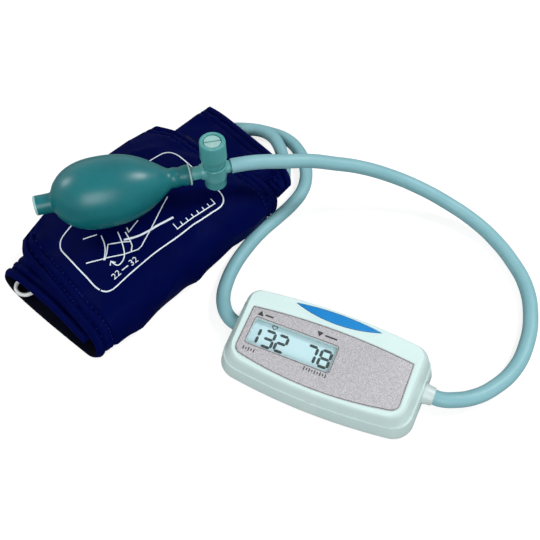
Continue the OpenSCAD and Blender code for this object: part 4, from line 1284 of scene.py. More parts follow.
    def lower_shell(self) -> None:
        """Make the lower shell with its battery bay, screw holes and hose holes."""
        shell = Bench.lofted(
            "lower_shell", [*self.lower_rings(self.wall, 2.0), *self.lower_rings(0.0, 0.0)[::-1]]
        )
        Bench.close_up(shell)
        adds = [
            Bench.rod("post", self.post_width, (x, y, 0.5), (x, y, self.parting - 0.02))
            for x, y in self.posts
        ]
        Bench.cut(shell, [Bench.block("floor_gap", (49.5, 11.1, 3.0), (*self.bay_at, 1.0))])
        bay = Bench.block("bay", (53.5, 13.5, 8.9), (*self.bay_at, 4.95))
        Bench.cut(bay, [Bench.block("cell_room", (49.5, 11.1, 11.4), (*self.bay_at, 2.7))])
        adds.append(bay)
        adds += [
            Bench.block("saddle", (2.0, 8.0, 6.5), (x, AIR_LINE[0], 3.75)) for x in (-27.0, 27.0)
        ]
        adds.append(self.air_rod("socket", 12.9, 48.7, 50.9))
        Bench.cut(shell, adds, "UNION")
        cuts = []
        for x, y in self.posts:
            cuts.append(Bench.rod("head", self.screw_head, (x, y, -1), (x, y, 4.0)))
            cuts.append(Bench.rod("bore", self.screw_hole, (x, y, -1), (x, y, 15.0)))
        cuts.append(Bench.block("hatch", (52.6, 14.7, 2.0), (*self.bay_at, 0.6)))
        for name, diameter, start, end in (
            ("line", 5.1, -45, 45), ("plug_hole", 11.1, 48.6, 60), ("hose_hole", 10.2, -60, -46),
        ):
            cuts.append(self.air_rod(name, diameter, start, end))
        Bench.cut(shell, cuts)
        self.shop.complete(shell, self.palette.case, "case", "bottom_case", edges=self.shell_edges)

    def lower_rings(self, wall: float, low: float) -> list[list[Point]]:
        """Give the rings of the lower shell, drawn in by a wall and standing on a floor."""
        side, back = self.side_lean * self.side_share, self.back_lean * self.side_share
        front = self.front_lean * self.front_share
        rows = [(inset, inset, inset, low + rise) for inset, rise in self.foot_rows]
        ends = (side - self.ledge, back - self.ledge, front - self.ledge / 2)
        for share in (0.3, 0.65, 0.96):
            height = lerp(2.6 + low * 0.5, self.parting, share)
            rows.append((*(end * share for end in ends), height))
        rows.append((side - 0.15, back - 0.15, front + 0.1, self.parting))
        return [
            self.ring(*(inset + wall for inset in insets), lambda y, height=height: height)
            for *insets, height in rows
        ]

    def panel_cut(self) -> list[Flat]:
        """Give the outline of the recess, which is a little larger than the panel's."""
        wider, deeper = (
            1 + self.panel_gap / half for half in (self.panel_plan.half, self.panel_depth)
        )
        middle = self.panel_middle
        points = self.panel_plan.outline(40, 10, 6)
        return [(x * wider, (y - middle) * deeper + middle) for x, y in points]

    def key_outline(self, inset: float) -> list[Flat]:
        """Give the lens outline of the start key, anticlockwise and drawn in by an inset."""
        parts = 36
        half, middle = 23.5 - inset * 3.2, self.key_middle
        outline = []
        for bow, sign in ((4.1 - inset, -1.0), (2.0 - inset, 1.0)):
            radius = (half**2 + bow**2) / (2 * bow)
            for step in range(parts):
                x = -sign * lerp(-half, half, step / parts)
                outline.append((x, middle + sign * (math.sqrt(radius**2 - x**2) - (radius - bow))))
        return outline

    def panel(self) -> None:
        """Make the silver panel, its printed border and its printed marks."""
        seat = self.face.place()
        low = -self.panel_recess
        top = low + self.panel_thick
        panel = Bench.prism("silver_panel", self.panel_plan.outline(*self.panel_parts), low, top)
        Bench.cut(panel, [self.window_block("hole", 0.0, 6.0, 0.0, self.window_radius)])
        Bench.round_edges(panel, 0.12, 2, 50.0)
        Bench.seat(panel, seat)
        self.shop.complete(panel, self.palette.panel, "panel", "face_panel")
        border = Bench.prism("border", self.inner_outline(0.35), top - 0.1, top + 0.02)
        Bench.cut(border, [Bench.prism("field", self.inner_outline(0.62), top - 1.0, top + 1.0)])
        marks = [border, self.window_line(top), *self.marks(top)]
        printed = Bench.joined("panel_print", marks)
        Bench.seat(printed, seat)
        self.shop.settle(printed, self.palette.print_ink, "dark_plastic")

    def inner_outline(self, inset: float) -> list[Flat]:
        """Give the panel's outline drawn in by an inset."""
        plan = self.panel_plan
        smaller = BowedPlan(
            plan.half - inset, plan.back - inset, plan.front + inset, plan.back_bow, plan.front_bow,
            plan.taper, max(plan.back_radius - inset * 0.5, 0.3), plan.front_radius - inset,
        )
        return smaller.outline(*self.panel_parts)

    def window_line(self, top: float) -> Piece:
        """Make the printed line round the window."""
        line = self.window_block("line", 1.3, 0.1, top - 0.03, 1.6)
        Bench.cut(line, [self.window_block("hole", 0.7, 2.0, top, 1.3)])
        return line

    def marks(self, top: float) -> list[Piece]:
        """Make plain printed marks: an upper and a lower reading sign, and short rows of ticks."""
        marks = []

        def bar(x: float, y: float, wide: float, deep: float) -> None:
            """Add one printed bar."""
            marks.append(Bench.block("bar", (wide, deep, 0.1), (x, y, top - 0.03)))

        def wedge(x: float, y: float, up: bool) -> None:
            """Add a small triangle that points up or down."""
            sign = 1.0 if up else -1.0
            points = [(x - 1.7, y - 1.2 * sign), (x + 1.7, y - 1.2 * sign), (x, y + 1.6 * sign)]
            marks.append(
                Bench.prism("wedge", points if up else points[::-1], top - 0.08, top + 0.02)
            )

        wedge(-37.6, 5.2, True)
        bar(-33.0, 5.2, 4.4, 0.9)
        wedge(-5.6, 5.8, False)
        bar(0.4, 5.8, 6.4, 0.9)
        for first, count, y in ((-38.6, 5, -15.2), (-6.4, 9, -14.3)):
            for step in range(count):
                bar(first + step * 1.4, y, 0.55, 2.0 if step % 2 == 0 else 1.2)
        return marks

    def display(self) -> None:
        """Dress the window and the glass, and set the digits on the glass."""
        self.shop.dress_all({"display_window": self.palette.window, "lcd_glass": self.palette.lcd})
        digits = []
        for shape, x, y, tall, wide in (
            ("1", -37.4, -5.8, 8.6, 5.4), ("3", -29.2, -5.7, 8.8, 5.2),
            ("2", -22.2, -5.6, 8.8, 5.0), ("7", -6.4, -5.2, 8.8, 5.0), ("8", 1.0, -5.1, 8.8, 5.0),
        ):
            digits += self.digit(shape, x, y, tall, wide)
        digits.append(self.heart(-28.6, 1.5))
        piece = Bench.joined("lcd_digits", digits)
        Bench.seat(piece, self.face.place())
        self.shop.settle(piece, self.palette.digit, "lcd")

    def digit(self, shape: str, x: float, y: float, tall: float, wide: float) -> list[Piece]:
        """Make one seven-bar digit.

        Args:
            shape: The digit.
            x: X of its middle, in the face's own frame.
            y: Y of its middle.
            tall: Its height.
            wide: Its width.

        Returns:
            Its bars.
        """
        bars = {"1": "bc", "2": "abged", "3": "abgcd", "7": "abc", "8": "abcdefg"}[shape]
        half_w, half_h, thick, gap = wide / 2, tall / 2, self.bar_thick, self.bar_gap
        ends = {
            "a": ((-half_w, half_h), (half_w, half_h)),
            "b": ((half_w, half_h), (half_w, 0.0)),
            "c": ((half_w, 0.0), (half_w, -half_h)),
            "d": ((-half_w, -half_h), (half_w, -half_h)),
            "e": ((-half_w, 0.0), (-half_w, -half_h)),
            "f": ((-half_w, half_h), (-half_w, 0.0)),
            "g": ((-half_w, 0.0), (half_w, 0.0)),
        }
        pieces = []
        for bar in bars:
            start, end = (Vector(p) for p in ends[bar])
            way = (end - start).normalized()
            side = Vector((-way.y, way.x))
            near, far = start + way * gap, end - way * gap
            six = [
                near, near + way * thick - side * thick, far - way * thick - side * thick,
                far, far - way * thick + side * thick, near + way * thick + side * thick,
            ]
            points = [(x + p.x, y + p.y) for p in six]
            pieces.append(Bench.prism("bar", points, self.digit_low, self.digit_high))
        return pieces

    def heart(self, x: float, y: float) -> Piece:
        """Make the small pulse sign, a plain heart outline."""

        def outline(size: float) -> list[Flat]:
            """Give the heart's outline at a size."""
            points, parts = [], 28
            for step in range(parts):
                turn = math.tau * step / parts
                across = 16 * math.sin(turn) ** 3
                one, two, three, four = (math.cos(number * turn) for number in range(1, 5))
                along = 13 * one - 5 * two - 2 * three - four
                points.append((x - across * size, y + along * size))
            return points

        heart = Bench.prism("heart", outline(0.1), self.digit_low, self.digit_high)
        Bench.cut(
            heart, [Bench.prism("gap", outline(0.066), self.digit_low - 0.3, self.digit_low + 0.4)]
        )
        return heart

    def key(self) -> None:
        """Make the blue start key with its crowned top."""
        seat = self.face.place()
        rings = []
        for inset, height in (
            (0.25, -2.1), (0.25, -0.2), (0.3, 0.12), (0.42, 0.32), (0.65, 0.44), (1.0, 0.52),
            (1.4, 0.57),
        ):
            rings.append([(x, y, height) for x, y in self.key_outline(inset)])
        key = Bench.lofted("start_key_cap", rings)
        Bench.close_up(key)
        flange = Bench.block("flange", (28.2, 5.4, 0.9), (0.0, 16.9, -2.55))
        Bench.cut(key, [flange], "UNION")
        Bench.round_edges(key, 0.08, 2, 45.0)
        Bench.seat(key, seat)
        self.shop.complete(key, self.palette.key, "key", "start_button", 50.0, body="start_key")

    def insides(self) -> None:
        """Dress the CAD nodes inside the unit."""
        palette = self.palette
        self.shop.dress_all(
            {
                "lcd_frame": palette.dark, "contact_strips": palette.contact,
                "circuit_board": palette.board, "controller_chip": palette.dark,
                "pressure_sensor": palette.pale, "sensor_tube": palette.tube,
                "air_manifold": palette.pale, "buzzer": palette.dark, "start_switch": palette.dark,
                "switch_plunger": palette.pale, "battery": palette.cell,
                "battery_spring": palette.bright, "battery_contact": palette.bright,
                "battery_cover": palette.case, "case_screws": palette.screw,
            }
        )

    def build(self) -> None:
        """Build the whole unit."""
        self.upper_shell()
        self.lower_shell()
        self.panel()
        self.display()
        self.key()
        self.insides()


@dataclass
class HandBulb:
    """The rubber bulb with its intake end, and the release valve on its neck."""

    shop: Shop
    palette: Palette
    valve_at: Point = (-89.3, 62.1, 55.0)
    turn: float = 218.7
    start: float = 14.3
    length: float = 79.8
    wall: float = 2.2
    neck_bore: float = 3.65
    tail_bore: float = 3.85
    slot_turn: float = 36.0
    rows: tuple[Flat, ...] = (
        (5.5, 0.0), (5.5, 0.03), (5.0, 0.06), (5.5, 0.095), (5.7, 0.135), (9.964, 0.21),
        (13.912, 0.29), (16.544, 0.37), (18.123, 0.45), (18.8, 0.54), (18.687, 0.64),
        (17.296, 0.73), (14.288, 0.81), (9.776, 0.87), (5.8, 0.9), (5.2, 0.92), (5.2, 1.0),
    )

    def axis(self) -> Matrix:
        """Give the matrix whose Z runs along the bulb from the valve, in metres."""
        turn = Matrix.Rotation(math.radians(self.turn), 4, "Z")
        return self.upright() @ (turn @ Matrix.Rotation(math.pi / 2, 4, "Y"))

    def upright(self) -> Matrix:
        """Give the matrix of the valve's own axis, in metres."""
        return Matrix.Translation(Vector(self.valve_at) * MM)

    def bulb(self) -> None:
        """Turn the hollow bulb with its beaded neck."""
        outer = [(r, self.start + s * self.length) for r, s in smoothed(self.rows, 6)]
        chamfer = 0.4
        outer[0] = (outer[0][0] - chamfer, outer[0][1])
        outer.insert(1, (outer[1][0], outer[0][1] + chamfer))
        room_start, end = self.start + 15, self.start + self.length
        tail = end - 9.5
        inner = [(max(r - self.wall, self.tail_bore), s) for r, s in outer if room_start < s < tail]
        profile = [(self.neck_bore, self.start), *outer]
        profile += [(self.tail_bore, end), (self.tail_bore, tail), *inner[::-1]]
        profile += [(self.neck_bore, room_start)]
        bulb = Bench.turned("rubber_bulb", profile, self.axis(), around=112, ring=True)
        self.shop.complete(bulb, self.palette.bulb, "bulb_rubber", "bulb", 50.0)

    def intake(self) -> None:
        """Turn the pale ring in the bulb's tail, with its seat and cage."""
        end = self.start + self.length
        rows = (
            (1.1, -3.0), (3.0, -2.4), (3.2, -1.6), (3.2, 0.9), (3.4, 1.15), (3.8, 1.25),
            (4.7, 1.25), (5.1, 1.0), (5.2, 0.6), (5.2, 0.05), (3.8, 0.05), (3.8, -9.5), (1.5, -9.5),
            (1.5, -8.6), (2.15, -8.6), (2.15, -4.0), (1.1, -4.0),
        )
        profile = [(radius, end + along) for radius, along in rows]
        ring = Bench.turned("intake_ring", profile, self.axis(), around=72, ring=True)
        self.shop.complete(ring, self.palette.mint, "mint_plastic", "intake_valve")

    def washer(self) -> None:
        """Turn the thin pale disc on the neck."""
        low = self.start - 1.05
        bore = self.neck_bore
        rows = (
            (bore, 0.0), (5.6, 0.0), (5.85, 0.2), (5.9, 0.5), (5.85, 0.8), (5.6, 1.0), (bore, 1.0)
        )
        profile = [(radius, low + along) for radius, along in rows]
        disc = Bench.turned("neck_disc", profile, self.axis(), around=72, ring=True)
        self.shop.complete(disc, self.palette.mint, "mint_plastic", "neck_washer")

    def body(self) -> None:
        """Turn the valve's body, add its two nipples and bore it through."""
        upright, along = self.upright(), self.axis()
        profile = [
            (0.0, -11.0), (5.2, -11.0), (5.75, -10.75), (6.05, -10.3), (6.1, -9.6), (6.1, -4.75),
            (6.2, -4.5), (6.5, -4.25), (6.5, 2.9), (6.7, 3.1), (6.95, 3.3), (7.05, 3.6),
            (7.05, 4.2), (6.9, 4.4), (6.1, 4.4), (6.1, 1.2), (0.0, 1.2),
        ]
        body = Bench.turned("valve_barrel", profile, upright)
        adds = {
            "neck": ((0.0, 0.0), (3.6, 0.0), (3.6, 13.2), (3.6, 28.0), (3.4, 28.3), (0.0, 28.3)),
            "collar": ((0.0, 4.0), (4.3, 4.0), (4.3, 7.6), (4.2, 7.8), (3.8, 8.0), (0.0, 8.0)),
            "spout": (
                (0.0, -8.9), (2.6, -8.9), (2.6, -8.2), (3.2, -8.2), (3.4, -8.0), (3.4, 0.0),
                (0.0, 0.0),
            ),
        }
        Bench.cut(
            body, [Bench.turned(name, rows, along, 64) for name, rows in adds.items()], "UNION"
        )
        well = ((0.0, -3.5), (4.3, -3.5), (4.3, 1.2), (6.1, 1.2), (6.1, 6.0), (0.0, 6.0))
        bores = [Bench.turned("well", well, upright)]
        for name, radius, low, high, place, around in (
            ("chamber", 4.55, -12.0, -3.4, upright, 64),
            ("port", 1.4, -12.0, 21.0, along, 48),
            ("cage", 2.15, 20.8, 27.3, along, 48),
            ("outlet", 1.5, 26.0, 30.0, along, 48),
        ):
            rows = ((0.0, low), (radius, low), (radius, high), (0.0, high))
            bores.append(Bench.turned(name, rows, place, around))
        Bench.cut(body, bores)
        self.shop.complete(
            body, self.palette.valve, "valve_plastic", "valve_body", edges=(0.2, 3, 35.0)
        )

    def knob(self) -> None:
        """Turn the release knob with its stem and rod."""
        profile = [
            (0.0, 2.5), (4.0, 2.5), (4.0, 3.7), (5.7, 3.7), (5.85, 3.9), (5.9, 6.5), (6.1, 8.9),
            (6.3, 9.15), (6.95, 9.5), (7.15, 9.75), (7.18, 10.3), (7.1, 12.3), (6.98, 16.0),
            (6.86, 20.3), (6.7, 20.9), (6.35, 21.2), (5.2, 21.2), (4.9, 21.05), (4.8, 20.8),
            (4.8, 19.6), (1.6, 19.6), (1.6, 10.6), (0.0, 10.6),
        ]
        knob = Bench.turned("release_knob", profile, self.upright())
        rod = ((0.0, -7.2), (1.5, -7.2), (1.5, 3.0), (0.0, 3.0))
        Bench.cut(knob, [Bench.turned("rod", rod, self.upright(), 48)], "UNION")
        self.shop.complete(
            knob, self.palette.valve, "valve_plastic", "exhaust_button", edges=(0.12, 2, 35.0),
            body="exhaust_knob",
        )

    def bleed(self) -> None:
        """Turn the slotted screw in the knob."""
        profile = [
            (0.0, 11.7), (1.45, 11.7), (1.45, 19.65), (4.2, 19.65), (4.45, 19.85), (4.5, 20.3),
            (4.45, 20.7), (4.2, 20.9), (0.0, 20.9),
        ]
        screw = Bench.turned("bleed_screw_head", profile, self.upright(), around=72)
        slot = Bench.block("slot", (12.0, 1.1, 2.0), (0.0, 0.0, 20.95))
        Bench.seat(slot, self.upright() @ Matrix.Rotation(math.radians(self.slot_turn), 4, "Z"))
        Bench.cut(screw, [slot])
        self.shop.complete(
            screw, self.palette.mint, "mint_plastic", "bleed_screw", edges=(0.08, 2, 40.0),
            body="bleed_adjuster",
        )

    def spring(self) -> None:
        """Wind the return spring."""
        low, high, radius, wire, travel = -3.45, 2.45, 3.0, 0.33, 2.2
        turns, parts, sides = 4, 24, 10
        rings = []
        for step in range(turns * parts + 1):
            spin = math.tau * step / parts
            out = Vector((math.cos(spin), math.sin(spin)))
            height = lerp(low + wire, high - wire, step / (turns * parts))
            ring = []
            for side in range(sides):
                turn = math.tau * side / sides
                place = out * (radius + wire * math.cos(turn))
                ring.append((*place, height + wire * math.sin(turn)))
            rings.append(ring)
        coil = Bench.lofted("return_spring", rings)
        Bench.close_up(coil)
        Bench.seat(coil, self.upright())
        self.shop.complete(coil, self.palette.bright, "bright_metal", "valve_spring", 50.0)
        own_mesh(coil)

    def build(self) -> None:
        """Build the bulb and the valve, and dress the nodes inside them."""
        self.bulb()
        self.intake()
        self.washer()
        self.body()
        self.knob()
        self.bleed()
        self.spring()
        palette = self.palette
        self.shop.dress_all(
            {
                "intake_ball": palette.bright, "outlet_ball": palette.bright,
                "valve_seat": palette.pale, "valve_seal": palette.seal,
            }
        )


class Side(Enum):
    """The two sides of the folded strip."""

    OUTER = 1
    INNER = -1


@dataclass(frozen=True)
class Crease:
    """A soft fold or dent between two places of the cuff, in its own U and V."""

    start: Flat
    end: Flat
    width: float
    height: float

    def at(self, u: float, v: float) -> float:
        """Give its height at a place, in millimetres."""
        first, last, here = Vector(self.start), Vector(self.end), Vector((u, v))
        way = last - first
        share = max(0.0, min(1.0, (here - first).dot(way) / way.length_squared))
        away = (here - (first + way * share)).length
        ends = 4 * share * (1 - share) if 0 < share < 1 else 0.0
        return self.height * bell(away, self.width) * (0.25 + 0.75 * ends)


@dataclass
class Strip:
    """A strip of doubled cloth through rows of left end, right end, crown and half thickness."""

    rows: tuple[tuple[float, ...], ...]
    steps: int
    hem_half: float = 1.4
    cloth: float = 1.2
    fine: list[tuple[float, ...]] = field(default_factory=list)
    along: list[float] = field(default_factory=list)

    def __post_init__(self) -> None:
        """Work out the fine rows and their lengths along the strip."""
        self.fine = smoothed(self.rows, self.steps)
        total = 0.0
        self.along = [0.0]
        for index in range(1, len(self.fine)):
            total += (self.middle(index, 0.5) - self.middle(index - 1, 0.5)).length
            self.along.append(total)

    def middle(self, index: int, share: float) -> Vector:
        """Give the middle of the cloth at a row and a share of its width."""
        row = self.fine[index]
        point = Vector([lerp(row[axis], row[axis + 3], share) for axis in range(3)])
        point.z += row[6] * 4 * share * (1 - share)
        return point

    def way(self, index: int, share: float) -> Vector:
        """Give the outward direction at a place, square to the strip's run."""
        last = len(self.fine) - 1
        run = self.middle(min(index + 1, last), share) - self.middle(max(index - 1, 0), share)
        run.x = 0.0
        run.normalize()
        return Vector((0.0, run.z, -run.y))

    def width(self, index: int) -> float:
        """Give the strip's width at a row."""
        return (self.middle(index, 1.0) - self.middle(index, 0.0)).length

    def edge(self, index: int, share: float) -> float:
        """Give the distance of a place to the nearest edge of the strip."""
        wide = self.width(index)
        return min(
            share * wide, (1 - share) * wide, self.along[index], self.along[-1] - self.along[index]
        )

    def half(self, index: int, share: float) -> float:
        """Give the half thickness at a place, rounded off at the edges."""
        row = self.fine[index]
        plain = self.hem_half + (row[7] - self.hem_half) * (1 - abs(2 * share - 1) ** 4)
        inside = 1 - min(max(self.edge(index, share), 0.0) / self.hem_half, 1.0)
        return plain * math.sqrt(max(1 - inside * inside, 0.0))

    def point(self, index: int, share: float, side: Side, offset: float = 0.0) -> Vector:
        """Give a point of one of the strip's surfaces.

        Args:
            index: The fine row.
            share: The share of its width.
            side: The side of the strip.
            offset: A further move outwards from that side.

        Returns:
            The point, in the cuff's own frame.
        """
        depth = max(self.half(index, share) + offset, 0.02)
        place = self.middle(index, share) + self.way(index, share) * depth * side.value
        place.z = max(place.z, 0.0)
        return place

    def columns(self, parts: int, first: float = 0.0, last: float = 1.0) -> list[float]:
        """Give shares of the width, closer together at the hems."""
        edge = [0.0, 0.0012, 0.004, 0.009, *(lerp(0.015, 0.1, step / 16) for step in range(17))]
        inner = [lerp(0.11, 0.89, step / parts) for step in range(parts + 1)]
        shares = edge + inner + [1 - share for share in reversed(edge)]
        return [lerp(first, last, share) for share in shares]


@dataclass
class ArmCuff:
    """The arm cuff, folded up: cover, lining, bladder, tail flap, hook tape, seams and label."""

    shop: Shop
    palette: Palette
    corner: Flat = (-110.0, -44.0)
    turn: float = 69.6
    gap: float = 0.2
    steps: int = 8
    columns: int = 64
    top_run: float = 95.0
    wrinkle: float = 1.5
    crease_scale: float = 1.9
    deepest: float = 1.7
    seam_width: float = 0.75
    puckers: tuple[float, float, float] = (0.5, 7.6, 3.6)
    hem_roll: tuple[float, float, float] = (0.9, 2.6, 1.7)
    tail_steps: int = 6
    stitch_size: Point = (0.26, 1.05, 0.2)
    stitch_start: float = 2.0
    stitch_pitch: float = 2.6
    print_field: tuple[float, float, float, float] = (18.0, 116.0, 8.0, 70.0)
    print_fade: float = 8.0
    print_calm: float = 0.25
    print_from: float = 0.06  # metres; the print is projected down from here
    print_rise: float = 0.08
    line_width: float = 0.62
    frame_width: float = 0.72
    band_width: float = 1.2
    tick_width: float = 0.55
    number_size: float = 4.9
    bag_thick: float = 1.3
    seams: tuple[Flat, ...] = ((5.2, 1.6), (10.0, 1.3))
    rows: tuple[tuple[float, ...], ...] = (
        (16.5, 82.5, 19.5, 123, 89, 28, 9.5, 1.4), (10.5, 74, 17, 129.5, 75, 27, 9.8, 5.2),
        (8.5, 54, 15.8, 131, 57, 26.5, 10.4, 6.2), (6.2, 30, 15.4, 135.4, 32, 25, 10.2, 6.2),
        (4.6, 13, 15.2, 139, 13, 22.5, 8.2, 5.6), (3.6, 5, 13, 139.4, 3.4, 18.5, 4, 4.2),
        (2, 2, 8, 138, 1.8, 11.4, 0, 3.1), (0, 6, 3.2, 138, 8.5, 3.4, 0, 2.6),
        (-1, 15, 2.6, 140, 18, 2.6, 0, 2.6), (-3, 42, 2.6, 140, 46, 2.6, 0, 2.6),
        (-4, 66, 2.6, 141, 76, 2.6, 0, 2.6), (-3.5, 76, 4, 142, 85, 4.5, 0, 2.6),
        (-2.5, 78, 7.4, 142, 86, 9.8, 0, 2.1), (-1, 73, 10.8, 142, 81, 14.8, 1.2, 2.1),
        (0.5, 58, 11.2, 141, 64, 15.2, 2.6, 2.1), (1.3, 36, 11.2, 140, 38, 15.2, 2.6, 2.1),
        (0.5, 10, 11.2, 141, 10, 15.2, 1.5, 1.6),
    )
    tail_rows: tuple[tuple[float, ...], ...] = (
        (140.2, 1.6, 16.4, 152.4, 2.6, 16.8, 0.0, 1.3),
        (140.2, 4.0, 17.0, 155.2, 5.4, 17.2, 0.0, 1.6),
        (140.2, 7.0, 17.3, 157.4, 9.0, 17.4, 0.1, 1.6),
        (140.2, 10.2, 17.5, 159.2, 12.6, 17.4, 0.2, 1.7),
        (134, 13.4, 17.7, 160.4, 16.0, 17.5, 0.5, 1.7),
        (60, 18.2, 18.3, 161.4, 20.0, 17.7, 1.4, 1.7), (60, 30, 19.7, 162.6, 30, 18, 1.9, 1.7),
        (60, 52, 19.8, 164.5, 52, 18, 2.2, 1.7), (60, 74, 19.6, 166, 74, 18, 2.2, 1.7),
        (62, 80, 19.2, 165.5, 87, 17.6, 2, 1.4),
    )
    creases: tuple[Crease, ...] = (
        Crease((18.0, 66.0), (44.0, 40.0), 3.2, -0.9), Crease((26.0, 70.0), (52.0, 50.0), 2.6, 0.8),
        Crease((12.0, 30.0), (34.0, 22.0), 3.0, -0.7),
        Crease((108.0, 70.0), (128.0, 44.0), 4.0, -0.8),
        Crease((60.0, 16.0), (96.0, 12.0), 3.4, -0.6),
        Crease((112.0, 22.0), (132.0, 10.0), 3.0, 0.7),
        Crease((16.0, 78.0), (30.0, 56.0), 2.4, 0.7), Crease((84.0, 76.0), (112.0, 66.0), 3.2, 0.7),
    )

    def __post_init__(self) -> None:
        """Build the two strips."""
        self.strip = Strip(self.rows, self.steps)
        self.tail = Strip(self.tail_rows, self.tail_steps)

    def place(self) -> Matrix:
        """Give the matrix from the cuff's own frame to the object's, in metres."""
        turn = Matrix.Rotation(math.radians(self.turn), 4, "Z")
        return Matrix.Translation((self.corner[0] * MM, self.corner[1] * MM, 0)) @ turn

    def relief(self, strip: Strip, index: int, share: float) -> float:
        """Give how far the outer cloth stands proud: seams, puckers, puffs and creases.

        Args:
            strip: The strip.
            index: The fine row.
            share: The share of its width.

        Returns:
            The height, in millimetres.
        """
        place = strip.middle(index, share)
        run = strip.along[index]
        wide = strip.width(index)
        across = share * wide
        hem = min(across, wide - across)
        edge = strip.edge(index, share)
        total = 0.0
        for seam, deep in self.seams:
            total -= deep * bell(hem - seam, self.seam_width)
        pucker = math.sin(run * 1.15 + 2.4 * noise_at(run * 0.08, across * 0.05, 3.0))
        high, middle, width = self.puckers
        total += high * pucker * bell(hem - middle, width)
        high, middle, width = self.hem_roll
        total += high * bell(hem - middle, width)
        fine_wave = noise_at(place.x * 0.09, run * 0.11, 1.0)
        wave = noise_at(place.x * 0.035, run * 0.03, 7.0) + 0.5 * fine_wave
        ridge = 1 - 2.4 * abs(noise_at(place.x * 0.03 + run * 0.02, run * 0.045, 11.0))
        on_top = run < self.top_run
        calm = self.calm(place.x, place.y) if on_top else 1.0
        wrinkles = self.wrinkle * wave + self.wrinkle * max(ridge, 0.0) ** 3
        total += wrinkles * min(hem / 12.0, 1.0) * calm
        if on_top:
            total += self.crease_scale * calm * sum(
                crease.at(place.x, place.y) for crease in self.creases
            )
        return max(total * min(max(edge - 0.4, 0.0) / 1.6, 1.0), -self.deepest)

    def calm(self, u: float, v: float) -> float:
        """Give the share of the wrinkles left at a place: it lies flatter under the print."""
        left, right, low, high = self.print_field
        inside = min(u - left, right - u, v - low, high - v) / self.print_fade
        return lerp(1.0, self.print_calm, max(0.0, min(1.0, inside)))

    def sheet(
        self,
        name: str,
        strip: Strip,
        sides: tuple[tuple[Side, float], tuple[Side, float]],
        shares: Sequence[float],
        rows: range,
        relief: bool,
    ) -> Piece:
        """Loft one layer of cloth between two surfaces of a strip.

        Args:
            name: The piece's name.
            strip: The strip.
            sides: The two surfaces, each a side and an offset.
            shares: The shares of the width.
            rows: The fine rows that it runs over.
            relief: True where its first surface has the seams and creases.

        Returns:
            The piece.
        """
        rings, marks = [], []
        for index in rows:
            ring, mark = [], []
            for number, (side, offset) in enumerate(sides):
                order = shares if number == 0 else list(reversed(shares))
                for share in order:
                    lift = self.relief(strip, index, share) if relief else 0.0
                    if number == 1:  # the under surface follows only dents deeper than 0.5 mm
                        lift = min(lift + 0.5, 0.0)
                    point = strip.point(index, share, side, offset + lift)
                    ring.append(tuple(point))
                    mark.append((share * strip.width(index), strip.along[index], float(side.value)))
            rings.append(ring)
            marks.extend(mark)
        piece = Bench.lofted(name, rings, capped=False)
        self.close_ends(piece, len(rings), len(shares))
        cloth = piece.data.attributes.new("cloth_mm", "FLOAT_VECTOR", "POINT")
        cloth.data.foreach_set("vector", [value for mark in marks for value in mark])
        with Bench.editing(piece):
            bpy.ops.mesh.normals_make_consistent(inside=False)
        Bench.seat(piece, self.place())
        Bench.smooth(piece, 60.0)
        return piece

    @staticmethod
    def close_ends(piece: Piece, rows: int, wide: int) -> None:
        """Close the first and the last row of a layer with a ladder of faces."""
        shape = bmesh.new()
        shape.from_mesh(piece.data)
        shape.verts.ensure_lookup_table()
        around = 2 * wide
        for row in (0, rows - 1):
            start = row * around
            for step in range(wide - 1):
                end = start + around - 1 - step
                four = (start + step, start + step + 1, end - 1, end)
                shape.faces.new([shape.verts[number] for number in four])
        shape.to_mesh(piece.data)
        shape.free()

    def cover(self) -> None:
        """Make the outer cloth and the lining."""
        shares = self.strip.columns(self.columns)
        rows = range(len(self.strip.fine))
        cloth = self.strip.cloth
        outer, inner = (((side, 0.0), (side, -cloth)) for side in (Side.OUTER, Side.INNER))
        cover = self.sheet("cuff_outer_cloth", self.strip, outer, shares, rows, True)
        self.shop.settle(cover, self.palette.cloth, "cuff_cloth", replaces=["cuff_cover"])
        stitches = self.stitches()
        label = self.label(cover)
        # The lining's near-black finish is painted shade for the inside of the folds.
        lining = self.sheet("cuff_lining_cloth", self.strip, inner, shares, rows, False)
        self.shop.settle(lining, self.palette.lining, "lining_cloth", replaces=["cuff_lining"])

    def bladder(self) -> None:
        """Make the air bag between the cloths."""
        shares = self.strip.columns(30, 0.05, 0.95)
        inset = -self.strip.cloth - self.gap
        rows = range(self.steps, self.steps * 10 + 1)
        sides = ((Side.OUTER, inset - self.bag_thick), (Side.INNER, inset))
        bag = self.sheet("air_bag", self.strip, sides, shares, rows, False)
        self.shop.settle(bag, self.palette.seal, "seal_rubber", replaces=["air_bladder"])

    def flap(self) -> None:
        """Make the tail flap and its hook tape."""
        shares = self.tail.columns(36)
        rows = range(len(self.tail.fine))
        sides = ((Side.INNER, 0.0), (Side.OUTER, 0.0))
        flap = self.sheet("tail_flap", self.tail, sides, shares, rows, True)
        self.shop.settle(flap, self.palette.cloth, "cuff_cloth", replaces=["cuff_tail"])
        parts = 24
        shares = [lerp(0.15, 0.7, step / parts) for step in range(parts + 1)]
        rows = range(6 * self.tail_steps, 8 * self.tail_steps + 1)
        sides = ((Side.INNER, 0.9), (Side.INNER, 0.2))
        tape = self.sheet("hook_tape_patch", self.tail, sides, shares, rows, False)
        self.shop.settle(tape, self.palette.hook, "hook_tape", replaces=["hook_patch"])

    def on_cover(self, index: int, share: float) -> Vector:
        """Give the place on the outer cloth at a row and a share of its width."""
        lift = self.relief(self.strip, index, share)
        return self.strip.point(index, share, Side.OUTER, lift)

